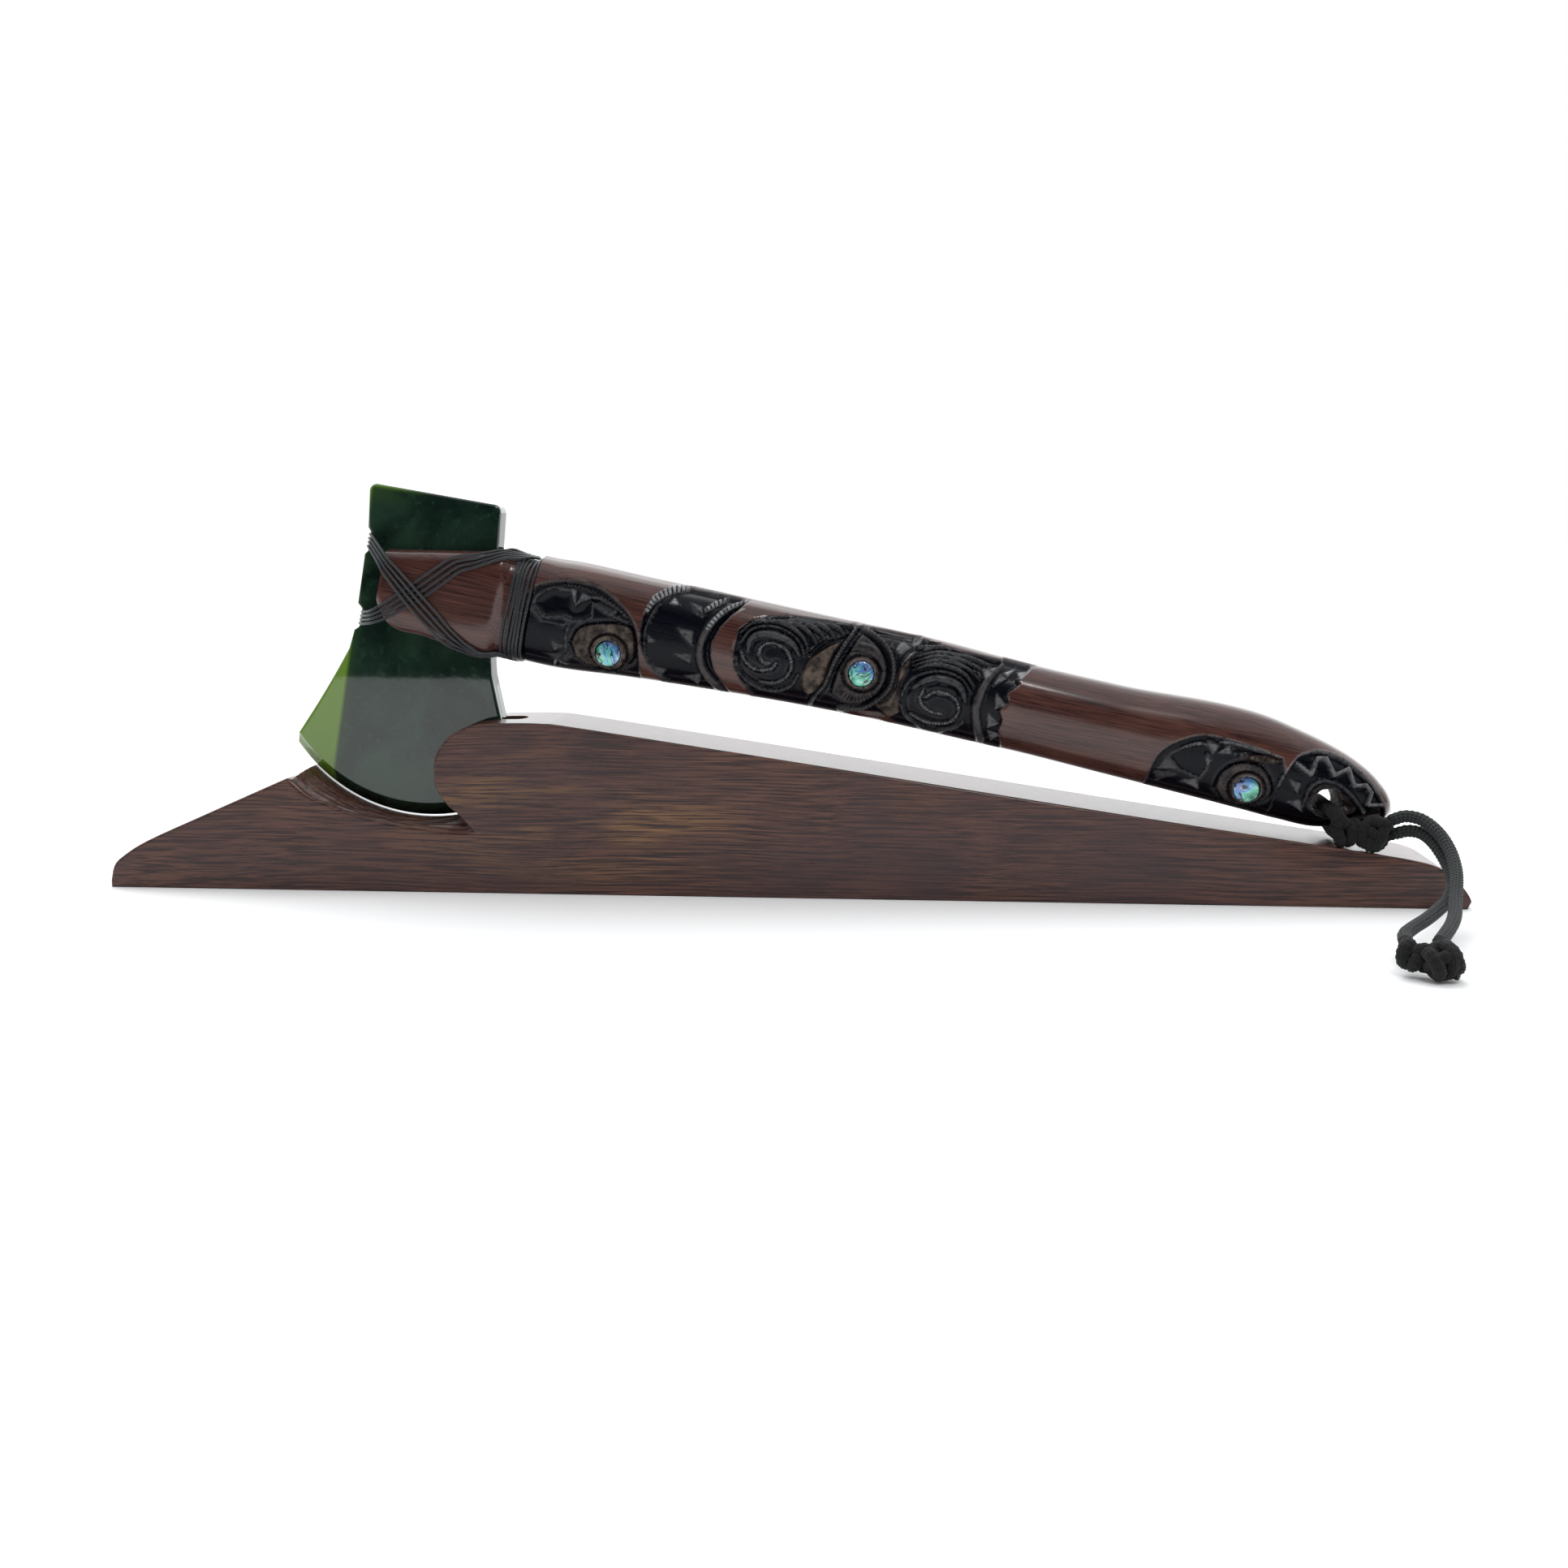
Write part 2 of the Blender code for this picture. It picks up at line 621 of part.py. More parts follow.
def blade_outline(inset, edge_inset):
    """The blade's outline, pulled in by an arris all round and by the bevel along its cutting edge."""
    left = -POLL_HALF_WIDTH + inset
    right = POLL_HALF_WIDTH - inset
    corner = POLL_CORNER * (1 - math.sqrt(0.5))
    outline = [
        (left, POLL_CORNER),
        (left + corner, inset + corner),
        (left + POLL_CORNER, inset),
        (right - POLL_CORNER, inset),
        (right - corner, inset + corner),
        (right, POLL_CORNER),
        (WAIST_SIDE - inset, FLARE_DOWN),
    ]
    heel = EDGE_HEEL_SIDE - inset
    toe = EDGE_TOE_SIDE + inset
    for k in range(EDGE_POINTS):
        side = heel + (toe - heel) * k / (EDGE_POINTS - 1)
        narrowed = side * (1 - FLARE_SLOPE * edge_inset / EDGE_HEEL_SIDE)
        outline.append((narrowed, edge_down(side) - edge_inset))
    shank = -SHANK_SIDE + inset
    outline.append((shank + SHANK_STEP, FLARE_DOWN))
    floor = BAND_HALF_WIDTH + LASHING_GAP
    for nick_down, nick_depth in ((LOWER_NICK_DOWN, LOWER_NICK_DEPTH), (UPPER_NICK_DOWN, UPPER_NICK_DEPTH)):
        outline += [
            (shank, nick_down + floor + NICK_SLOPE),
            (shank + nick_depth, nick_down + floor),
            (shank + nick_depth, nick_down - floor),
            (shank, nick_down - floor - NICK_SLOPE),
        ]
    return outline


def add_blade(material):
    """A flat plate with bevelled arrises and a long double bevel to its curved cutting edge."""
    half = BLADE_THICKNESS / 2
    levels = (
        (half, BLADE_ARRIS, EDGE_BEVEL),
        (half - BLADE_ARRIS, 0.0, EDGE_BEVEL * (1 - BLADE_ARRIS / half)),
        (EDGE_FLAT / 2, 0.0, 0.0),
    )
    rings = []
    for sign in (-1, 1):
        for half_depth, inset, edge_inset in levels[::-sign]:
            outline = [blade_to_handle(*point) for point in blade_outline(inset, edge_inset)]
            rings.append([Vector((a, sign * half_depth, u)) * MM for a, u in outline])
    return add_object("blade", mesh_from_rings("blade", rings), material, 20.0)


# Lashing

def band_section(strands, lift):
    """A ribbed strip: flat below, one rib for each strand. Side and height of each point."""
    half = strands * STRAND / 2
    points = [(half, 0.0)]
    for k in range(strands):
        points.append((half - (k + 0.5) * STRAND, lift + STRAND))
        if k < strands - 1:
            points.append((half - (k + 1) * STRAND, lift + 0.65 * STRAND))
    points.append((-half, 0.0))
    return points


def ribbon_loop(name, route, strands):
    """A closed strip that follows a loop of places, each with its outward direction and its lift."""
    count = len(route)
    rings = []
    for k, (place, outward, lift) in enumerate(route):
        along = (route[(k + 1) % count][0] - route[k - 1][0]).normalized()
        out = (outward - outward.dot(along) * along).normalized()
        side = along.cross(out)
        rings.append([
            (place + side * across + out * height) * MM
            for across, height in band_section(strands, lift)
        ])
    return mesh_from_rings(name, rings, closed=True)


def over_skin(along, degrees, lift, gap=LASHING_GAP):
    """A place a gap above the uncarved surface, with its outward direction and lift."""
    depth, up, out_depth, out_up = skin(along, math.radians(degrees))
    place = Vector((stretched(along), depth + out_depth * gap, up + out_up * gap))
    return place, Vector((0.0, out_depth, out_up)), lift


def loop_route(nick_down, nick_depth, cheek_places, neck_places):
    """A lashing loop: from the blade's side over the front cheek to the neck, and back behind."""
    edge_along, edge_up = blade_to_handle(-SHANK_SIDE + nick_depth, nick_down)
    half = BLADE_THICKNESS / 2
    clear = LASHING_GAP
    front = [
        (Vector((edge_along - clear, 0.0, edge_up)), Vector((-1.0, 0.0, 0.0)), 0.0),
        (Vector((edge_along - clear, -half * 0.8, edge_up)), Vector((-1.0, -0.3, 0.0)), 0.0),
        (Vector((edge_along - clear + 0.4, -half - clear - 0.4, edge_up)), Vector((-0.8, -0.7, 0.0)), 0.0),
    ]
    for along, up, lift in cheek_places:
        out = Vector((-0.5 if along < 2 else 0.0, -1.0, 0.0))
        front.append((Vector((along, -HEAD_HALF - clear, up)), out, lift))
    front += [over_skin(*place) for place in neck_places]
    back = [(Vector((p.x, -p.y, p.z)), Vector((n.x, -n.y, n.z)), lift) for p, n, lift in front[1:-1]]
    return front + back[::-1]


# Places of the bands: on the cheek by along, up and lift, round the neck by along, angle, lift and gap
OVER = 0.5 * STRAND
FALLING_CHEEK = (
    (0.2, 8.6, OVER), (3.5, 5.6, OVER), (9.5, 1.0, OVER), (15.5, -3.6, OVER), (21.5, -8.0, OVER),
    (27.0, -12.0, 0.0),
)
FALLING_NECK = (
    (32.5, -56.0, 0.0, LASHING_GAP + 0.3), (38.0, -64.0, OVER, LASHING_GAP + 0.4),
    (43.5, -70.0, OVER, LASHING_GAP + 0.3), (47.6, -80.0, OVER), (49.0, -90.0, OVER),
)
RISING_CHEEK = (
    (0.4, -11.0, 0.0), (4.5, -8.0, 0.0), (9.5, -3.4, 0.0), (15.0, 1.8, 0.0), (20.5, 7.6, 0.0),
    (25.5, 12.6, 0.0),
)
RISING_NECK = (
    (31.0, 50.0, 0.0, LASHING_GAP + 0.1), (36.0, 56.0, OVER, LASHING_GAP + 0.2),
    (39.5, 61.5, OVER, LASHING_GAP + 0.3), (42.5, 68.0, OVER), (46.0, 79.0, OVER), (47.4, 90.0, OVER),
)


def add_lashing(material):
    """Two loops that cross on each cheek and pass through the blade's nicks, and the turns round the neck."""
    falling = loop_route(UPPER_NICK_DOWN, UPPER_NICK_DEPTH, FALLING_CHEEK, FALLING_NECK)
    rising = loop_route(LOWER_NICK_DOWN, LOWER_NICK_DEPTH, RISING_CHEEK, RISING_NECK)
    lashing = add_object("lashing", ribbon_loop("lashing", falling, BAND_STRANDS), material)
    second = ribbon_loop("rising_band_cutter", rising, BAND_STRANDS)
    boolean(lashing, add_cutter("rising_band_cutter", second), "UNION")

    steps = 28
    neck = [over_skin(NECK_MIDDLE, 360 * k / steps, 0.0, LASHING_GAP + 0.1) for k in range(steps)]
    ring = ribbon_loop("neck_turns_cutter", neck, NECK_TURNS)
    boolean(lashing, add_cutter("neck_turns_cutter", ring), "UNION")
    return lashing


# Cord

def tube(name, points, diameter, material, sides=2):
    """A round cord along a list of points, with flat ends."""
    curve = bpy.data.curves.new(name, "CURVE")
    curve.dimensions = "3D"
    curve.bevel_depth = diameter / 2 * MM
    curve.bevel_resolution = sides
    curve.use_fill_caps = True
    spline = curve.splines.new("POLY")
    spline.points.add(len(points) - 1)
    for point, place in zip(spline.points, points):
        point.co = (*(Vector(place) * MM), 1.0)
    curve.materials.append(material)
    cord = bpy.data.objects.new(name, curve)
    bpy.context.scene.collection.objects.link(cord)
    return cord


def lump_mesh(name, centre, radii, waves, depth):
    """A rounded knot: a ball with soft waves over it."""
    body = bmesh.new()
    bmesh.ops.create_uvsphere(body, u_segments=12, v_segments=8, radius=1.0)
    for vert in body.verts:
        x, y, z = vert.co
        swell = 1 + depth * math.sin(waves * x + 0.6) * math.sin(waves * y - 0.4) * math.cos(waves * z)
        vert.co = Vector((
            centre[0] + radii[0] * x * swell,
            centre[1] + radii[1] * y * swell,
            centre[2] + radii[2] * z * swell,
        )) * MM
    mesh = bpy.data.meshes.new(name)
    body.to_mesh(mesh)
    body.free()
    return mesh


HITCH_ALONG = 341.5
HITCH_UP = -6.2
HITCH_DEPTH = -15.2
HITCH_LEANS = (-60.0, -30.0)
HITCH_SWELL = 0.05


def round_ring(name, path, outward, diameter, sides=6):
    """A round cord along a closed loop of points in millimetres."""
    count = len(path)
    rings = []
    for k in range(count):
        forward = (path[(k + 1) % count] - path[k - 1]).normalized()
        out = (outward[k] - outward[k].dot(forward) * forward).normalized()
        side = forward.cross(out)
        rings.append([
            (path[k] + (side * math.cos(angle) + out * math.sin(angle)) * diameter / 2) * MM
            for angle in (2 * math.pi * m / sides for m in range(sides))
        ])
    return mesh_from_rings(name, rings, closed=True)


def edge_reach(away):
    """Distance from the lanyard hole's middle to the butt's edge, in one direction of the handle's plane."""
    reach = 0.0
    while front_depth(LANYARD_ALONG + away.x * reach, LANYARD_UP + away.z * reach) > 0:
        reach += 0.1
    return reach


def hitch_turn(lean):
    """The path of one turn of cord through the lanyard hole and round the butt's lower corner."""
    away = Vector((math.cos(math.radians(lean)), 0.0, math.sin(math.radians(lean))))
    hole = Vector((stretched(LANYARD_ALONG), 0.0, LANYARD_UP))
    mouth = front_depth(LANYARD_ALONG, LANYARD_UP)
    clear = CORD_DIAMETER / 2 + FIT_GAP
    inside = LANYARD_RADIUS - clear - 0.4
    edge = edge_reach(away)
    wall = edge - LANYARD_RADIUS
    front = [
        (inside - 0.6, mouth - 2.0),
        (inside, mouth + 0.6 * clear),
        (LANYARD_RADIUS + 0.1 * wall, mouth + 1.1 * clear),
        (LANYARD_RADIUS + 0.5 * wall, mouth + 0.3 * clear),
        (LANYARD_RADIUS + 0.95 * wall, 0.78 * mouth),
        (edge + clear, 0.42 * mouth),
    ]
    half_loop = [(edge + 1.1 * clear, 0.0)] + front[::-1] + [(inside - 0.6, 0.0)]
    loop = [(reach, -depth) for reach, depth in half_loop] + front
    return [hole + away * reach + Vector((0.0, depth, 0.0)) for reach, depth in loop]


def add_hitch(material):
    """The cord's two turns through the lanyard hole, drawn tight into a knot in front of the butt."""
    centre = (stretched(HITCH_ALONG), HITCH_DEPTH, HITCH_UP)
    lump = lump_mesh("wrist_cord_hitch", centre, (HITCH_RADIUS,) * 3, 2.4, HITCH_SWELL)
    hitch = add_object("wrist_cord_hitch", lump, material, 60.0)
    for k, lean in enumerate(HITCH_LEANS):
        path = hitch_turn(lean)
        middle = sum(path, Vector()) / len(path)
        outward = [place - middle for place in path]
        ring = round_ring(f"hitch_turn_{k + 1}_cutter", path, outward, CORD_DIAMETER)
        boolean(hitch, add_cutter(ring.name, ring), "UNION")
    return hitch


# Placing the axe in the stand

def to_world(along, up, tilt):
    """World x and z of a place on the handle, when the axe is turned about its edge circle by a tilt."""
    along, up = along - PIVOT[0], up - PIVOT[1]
    x = BED_X + along * math.cos(tilt) + up * math.sin(tilt)
    z = BED_Z - along * math.sin(tilt) + up * math.cos(tilt)
    return x, z


def stand_top(x):
    """Height of the stand's sloping top."""
    nose_x = BED_X + NOSE_TOP_END
    tail_x = STAND_LENGTH / 2 - TAIL_TOP_END
    return NOSE_HEIGHT - (NOSE_HEIGHT - TAIL_HEIGHT) * (x - nose_x) / (tail_x - nose_x)


def resting_tilt():
    """The tilt at which the hitch's first turn lies on the stand's top, found by halving."""
    low, high = 0.0, math.radians(40)
    resting = min(hitch_turn(HITCH_LEANS[0]), key=lambda place: place.z)
    for _ in range(50):
        tilt = (low + high) / 2
        x, z = to_world(resting.x, resting.z, tilt)
        slope = (stand_top(x + 1) - stand_top(x - 1)) / 2
        clearance = (z - stand_top(x)) / math.hypot(1, slope) - CORD_DIAMETER / 2 - FIT_GAP
        if clearance > 0:
            low = tilt
        else:
            high = tilt
    return low


# The stand's side outline: the toe from its tip, the hook from the bed's centre and by its share of the
# height above the notch, the tail from its end and by its share of the tail's height
TOE_PROFILE = ((0.0, 0.0), (0.0, 2.4), (1.3, 7.5), (4.6, 10.9), (13.5, 16.4))
BED_LIP = (-45.5, 38.8)
NOTCH = (18.8, 24.6)
HOOK_PROFILE = ((8.7, 0.22), (5.8, 0.49), (8.6, 0.77), (19.2, 0.97), (30.3, 1.0), (NOSE_TOP_END, 1.0))
TAIL_PROFILE = ((TAIL_TOP_END, 1.0), (10.0, 0.81), (3.6, 0.48), (0.0, 0.15), (1.2, 0.0))


def stand_outline(drop):
    """The side outline of the stand, with its bed dished by a drop."""
    toe_x, tail_x = -STAND_LENGTH / 2, STAND_LENGTH / 2
    first = math.atan2(BED_LIP[1] - BED_Z, BED_LIP[0]) % (2 * math.pi)
    last = 1.5 * math.pi + math.asin(NOTCH[0] / BED_RADIUS)
    bed = [
        (BED_X + (BED_RADIUS + drop) * math.cos(angle), BED_Z + (BED_RADIUS + drop) * math.sin(angle))
        for angle in np.linspace(first, last, 11)[1:]
    ]
    hook = [
        (BED_X + x, NOTCH[1] + share * (NOSE_HEIGHT - NOTCH[1]))
        for x, share in ((NOTCH[0], 0.0), *HOOK_PROFILE)
    ]
    slope = [(x, stand_top(x)) for x in np.linspace(hook[-1][0], tail_x - TAIL_TOP_END, 4)[1:-1]]
    return (
        [(toe_x + x, z) for x, z in TOE_PROFILE]
        + [(BED_X + BED_LIP[0], BED_LIP[1])]
        + bed
        + smooth_through(hook, 15)[1:]
        + slope
        + [(tail_x - x, share * TAIL_HEIGHT) for x, share in TAIL_PROFILE]
    )


def pulled_in(outline, inset):
    """A clockwise outline moved inwards by an even distance."""
    moved = []
    for k, here in enumerate(outline):
        before = Vector(here) - Vector(outline[k - 1])
        after = Vector(outline[(k + 1) % len(outline)]) - Vector(here)
        one = Vector((before.y, -before.x)).normalized()
        two = Vector((after.y, -after.x)).normalized()
        moved.append(tuple(Vector(here) + (one + two) * inset / (1 + one.dot(two))))
    return moved


def add_stand(material):
    """The wedge: a rounded toe, a curved bed, a hooked nose with a slot, and a long sloping top."""
    half = STAND_DEPTH / 2
    inner = BLADE_THICKNESS / 2 + 1
    halves = (half, half - STAND_ARRIS, (half + inner) / 2, inner)
    rings = []
    for depth in [-d for d in halves] + list(halves[::-1]):
        inset = STAND_ARRIS if abs(depth) == half else 0.0
        drop = BED_DISH * (abs(depth) - inner) / (half - inner)
        rings.append([Vector((x, depth, z)) * MM for x, z in pulled_in(stand_outline(drop), inset)])
    stand = add_object("stand", mesh_from_rings("stand", rings), material, 25.0)

    half_slot = BLADE_THICKNESS / 2 + FIT_GAP
    slot_end = SLOT_BEYOND_CENTRE - SLOT_END_RADIUS
    first = 1.5 * math.pi - 0.2
    last = 1.5 * math.pi + math.asin(slot_end / BED_RADIUS)
    slot = [
        (BED_X + BED_RADIUS * math.cos(a), BED_Z + BED_RADIUS * math.sin(a))
        for a in np.linspace(first, last, 9)
    ]
    above = NOSE_HEIGHT + 12.0
    slot += [(BED_X + SLOT_BEYOND_CENTRE, slot[-1][1] + SLOT_END_RADIUS), (BED_X + SLOT_BEYOND_CENTRE, above)]
    slot += [(slot[0][0], above)]
    cutter = add_cutter("nose_slot_cutter", prism("nose_slot_cutter", slot, -half_slot, half_slot))
    boolean(stand, cutter, "DIFFERENCE")
    return stand


WRIST_CORD_RIGHT = (
    (203.6, -15.0, 28.9), (207.5, -16.2, 30.4), (211.6, -19.0, 30.0), (214.6, -23.5, 28.0),
    (216.6, -29.0, 25.0), (217.3, -36.0, 21.3), (216.3, -45.0, 17.4), (213.9, -54.0, 14.2),
    (211.0, -63.5, 11.9), (208.0, -74.0, 10.6), (204.0, -85.0, 10.0), (199.5, -95.0, 9.4),
    (195.9, -102.2, 8.8),
)
WRIST_CORD_LEFT = (
    (205.2, -14.0, 24.2), (209.0, -15.2, 25.4), (212.6, -18.5, 25.1), (215.2, -24.0, 22.6),
    (217.0, -32.0, 17.9), (216.2, -42.0, 13.9), (212.5, -51.0, 10.4), (207.0, -60.0, 8.8),
    (200.5, -71.0, 8.2), (194.0, -82.0, 8.2), (189.0, -92.0, 8.3), (187.0, -100.9, 8.3),
)
KNOT_CENTRE = (190.5, -109.5, 7.6)


def add_wrist_cord(material):
    """The wrist loop: two strands from the hitch, and the knot that joins them on the floor."""
    tube("wrist_cord_right", smooth_through(WRIST_CORD_RIGHT, 18), CORD_DIAMETER, material)
    tube("wrist_cord_left", smooth_through(WRIST_CORD_LEFT, 18), CORD_DIAMETER, material)
    radii = (KNOT_RADIUS * 1.15, KNOT_RADIUS, KNOT_RADIUS * 0.95)
    knot = lump_mesh("wrist_cord_knot", KNOT_CENTRE, radii, 2.6, 0.06)
    add_object("wrist_cord_knot", knot, material, 60.0)


def build():
    """Model every piece, the axe in its own plane first, then turned into the stand."""
    for old in list(bpy.data.objects):
        bpy.data.objects.remove(old)

    handle_wood = principled("handle_wood", (0.075, 0.025, 0.022), 0.28)
    stand_wood = principled("stand_wood", (0.085, 0.045, 0.038), 0.32)
    greenstone = principled("greenstone", (0.012, 0.045, 0.025), 0.12)
    paua_shell = principled("paua_shell", (0.10, 0.52, 0.55), 0.18)
    black_cord = principled("black_cord", (0.02, 0.021, 0.024), 0.6)

    axe = bpy.data.objects.new("axe", None)
    bpy.context.scene.collection.objects.link(axe)
    pieces = [add_handle(handle_wood), add_blade(greenstone), add_lashing(black_cord), add_hitch(black_cord)]
    pieces += add_shell_discs(paua_shell)
    cutters = [o for o in bpy.data.objects if o.hide_render]
    for piece in pieces + cutters:
        piece.parent = axe

    tilt = resting_tilt()
    origin_x, origin_z = to_world(0.0, 0.0, tilt)
    axe.rotation_euler = (0.0, tilt, 0.0)
    axe.location = (origin_x * MM, 0.0, origin_z * MM)

    add_stand(stand_wood)
    add_wrist_cord(black_cord)


build()
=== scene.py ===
"""A greenstone axe lashed into its carved handle, lying in its wooden stand, in a plain white studio."""
import math

import bmesh
import bpy
import numpy as np
from mathutils import Matrix, Vector


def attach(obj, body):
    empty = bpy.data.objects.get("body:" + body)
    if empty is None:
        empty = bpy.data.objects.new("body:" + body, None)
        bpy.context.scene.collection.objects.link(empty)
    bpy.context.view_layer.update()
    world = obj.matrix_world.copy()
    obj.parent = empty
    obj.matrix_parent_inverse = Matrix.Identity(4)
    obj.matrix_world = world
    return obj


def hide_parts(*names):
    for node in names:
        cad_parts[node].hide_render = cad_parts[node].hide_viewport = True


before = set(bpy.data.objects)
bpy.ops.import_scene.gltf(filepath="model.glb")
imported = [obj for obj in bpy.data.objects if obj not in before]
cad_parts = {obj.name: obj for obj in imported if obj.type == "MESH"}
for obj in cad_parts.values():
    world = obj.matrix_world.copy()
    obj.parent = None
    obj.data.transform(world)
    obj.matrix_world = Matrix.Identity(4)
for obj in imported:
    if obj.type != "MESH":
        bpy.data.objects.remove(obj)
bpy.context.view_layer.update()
scene = bpy.context.scene
MM = 0.001


# Camera
# It stands in front of the axe at about the height of the blade, and looks a little down and to the left.

camera_data = bpy.data.cameras.new("camera")
camera_data.sensor_width = 36.0
camera_data.lens = 40.99
camera = bpy.data.objects.new("camera", camera_data)
scene.collection.objects.link(camera)
camera.location = (0.05082, -0.60513, 0.12694)
camera.rotation_euler = (math.radians(90.0 - 8.50), 0.0, math.radians(4.53))
scene.camera = camera


# Studio
# A white sheet lies under the stand and runs out of sight behind it. The light is soft, from above and
# behind, and the room in front of the sheet is darker, so that the polished faces stay deep.

FLOOR_FRONT = -0.80
FLOOR_BACK = 9.0
FLOOR_SIDE = 9.0


def node(tree, kind, sockets=None, **settings):
    """Add a node with its settings. A socket takes a value, or another node's output."""
    made = tree.nodes.new(kind)
    for name, value in settings.items():
        setattr(made, name, value)
    for name, value in (sockets or {}).items():
        if isinstance(value, bpy.types.NodeSocket):
            tree.links.new(value, made.inputs[name])
        else:
            made.inputs[name].default_value = value
    return made


def maths(tree, operation, first, second=0.0, clamp=False):
    """One sum on values."""
    return node(tree, "ShaderNodeMath", {0: first, 1: second}, operation=operation,
                use_clamp=clamp).outputs[0]


def times(tree, first, second):
    """Two values multiplied."""
    return maths(tree, "MULTIPLY", first, second)


def plus(tree, first, second):
    """Two values added."""
    return maths(tree, "ADD", first, second)


def minus(tree, first, second):
    """The second value taken from the first."""
    return maths(tree, "SUBTRACT", first, second)


def vectors(tree, operation, first, second):
    """One sum on vectors."""
    return node(tree, "ShaderNodeVectorMath", {0: first, 1: second}, operation=operation).outputs[0]


def blended(tree, share, one, two):
    """Two colours mixed by a share. Each is three numbers or another node's output."""
    one, two = (given if isinstance(given, bpy.types.NodeSocket) else (*given, 1.0) for given in (one, two))
    return node(tree, "ShaderNodeMix", {0: share, 6: one, 7: two}, data_type="RGBA").outputs[2]


def eased(tree, value, low, high, start=0.0, end=1.0):
    """A value brought from one range into another, and held at its ends."""
    sockets = {"Value": value, "From Min": low, "From Max": high, "To Min": start, "To Max": end}
    return node(tree, "ShaderNodeMapRange", sockets).outputs[0]


def noise(tree, place, scale, detail, distortion=0.0):
    """Soft noise from 0 to 1."""
    sockets = {"Vector": place, "Scale": scale, "Detail": detail, "Distortion": distortion}
    return node(tree, "ShaderNodeTexNoise", sockets).outputs[0]


def own_place(tree):
    """The piece's own coordinates."""
    return node(tree, "ShaderNodeTexCoord").outputs["Object"]


def bumped(tree, height, strength, distance):
    """Surface directions that follow a fine relief."""
    sockets = {"Height": height, "Strength": strength, "Distance": distance}
    return node(tree, "ShaderNodeBump", sockets).outputs[0]


def plug(tree, shader, **outputs):
    """Link outputs to the shader's sockets, by name."""
    for socket, output in outputs.items():
        tree.links.new(output, shader.inputs[socket.replace("_", " ")])


def new_group(name, kind, inputs, outputs):
    """A node group with its sockets, each a name and a kind, and what its inputs give inside it."""
    group = bpy.data.node_groups.new(name, kind)
    for in_out, sockets in (("INPUT", inputs), ("OUTPUT", outputs)):
        for socket, socket_kind in sockets:
            group.interface.new_socket(name=socket, in_out=in_out, socket_type=f"NodeSocket{socket_kind}")
    return group, node(group, "NodeGroupInput").outputs


def new_material(name, **sockets):
    """A material with one Principled shader, whose sockets are set by name."""
    material = bpy.data.materials.new(name)
    material.use_nodes = True
    shader = material.node_tree.nodes["Principled BSDF"]
    for socket, value in sockets.items():
        shader.inputs[socket.replace("_", " ")].default_value = value
    return material, material.node_tree, shader


def shade(mesh, sharp_degrees=180, flat_corners=1000):
    """Shade a mesh smooth between its sharp edges, and flat on its widest faces."""
    mesh.shade_smooth()
    if sharp_degrees < 180:
        mesh.set_sharp_from_angle(angle=math.radians(sharp_degrees))
    for face in mesh.polygons:
        face.use_smooth = len(face.vertices) < flat_corners


def add_piece(name, mesh, material):
    """An object for one mesh."""
    piece = bpy.data.objects.new(name, mesh)
    scene.collection.objects.link(piece)
    mesh.materials.append(material)
    shade(mesh)
    return piece


def settle(piece):
    """Give the piece the mesh that its modifiers make."""
    bpy.context.view_layer.update()
    graph = bpy.context.evaluated_depsgraph_get()
    mesh = bpy.data.meshes.new_from_object(piece.evaluated_get(graph))
    piece.modifiers.clear()
    piece.data = mesh


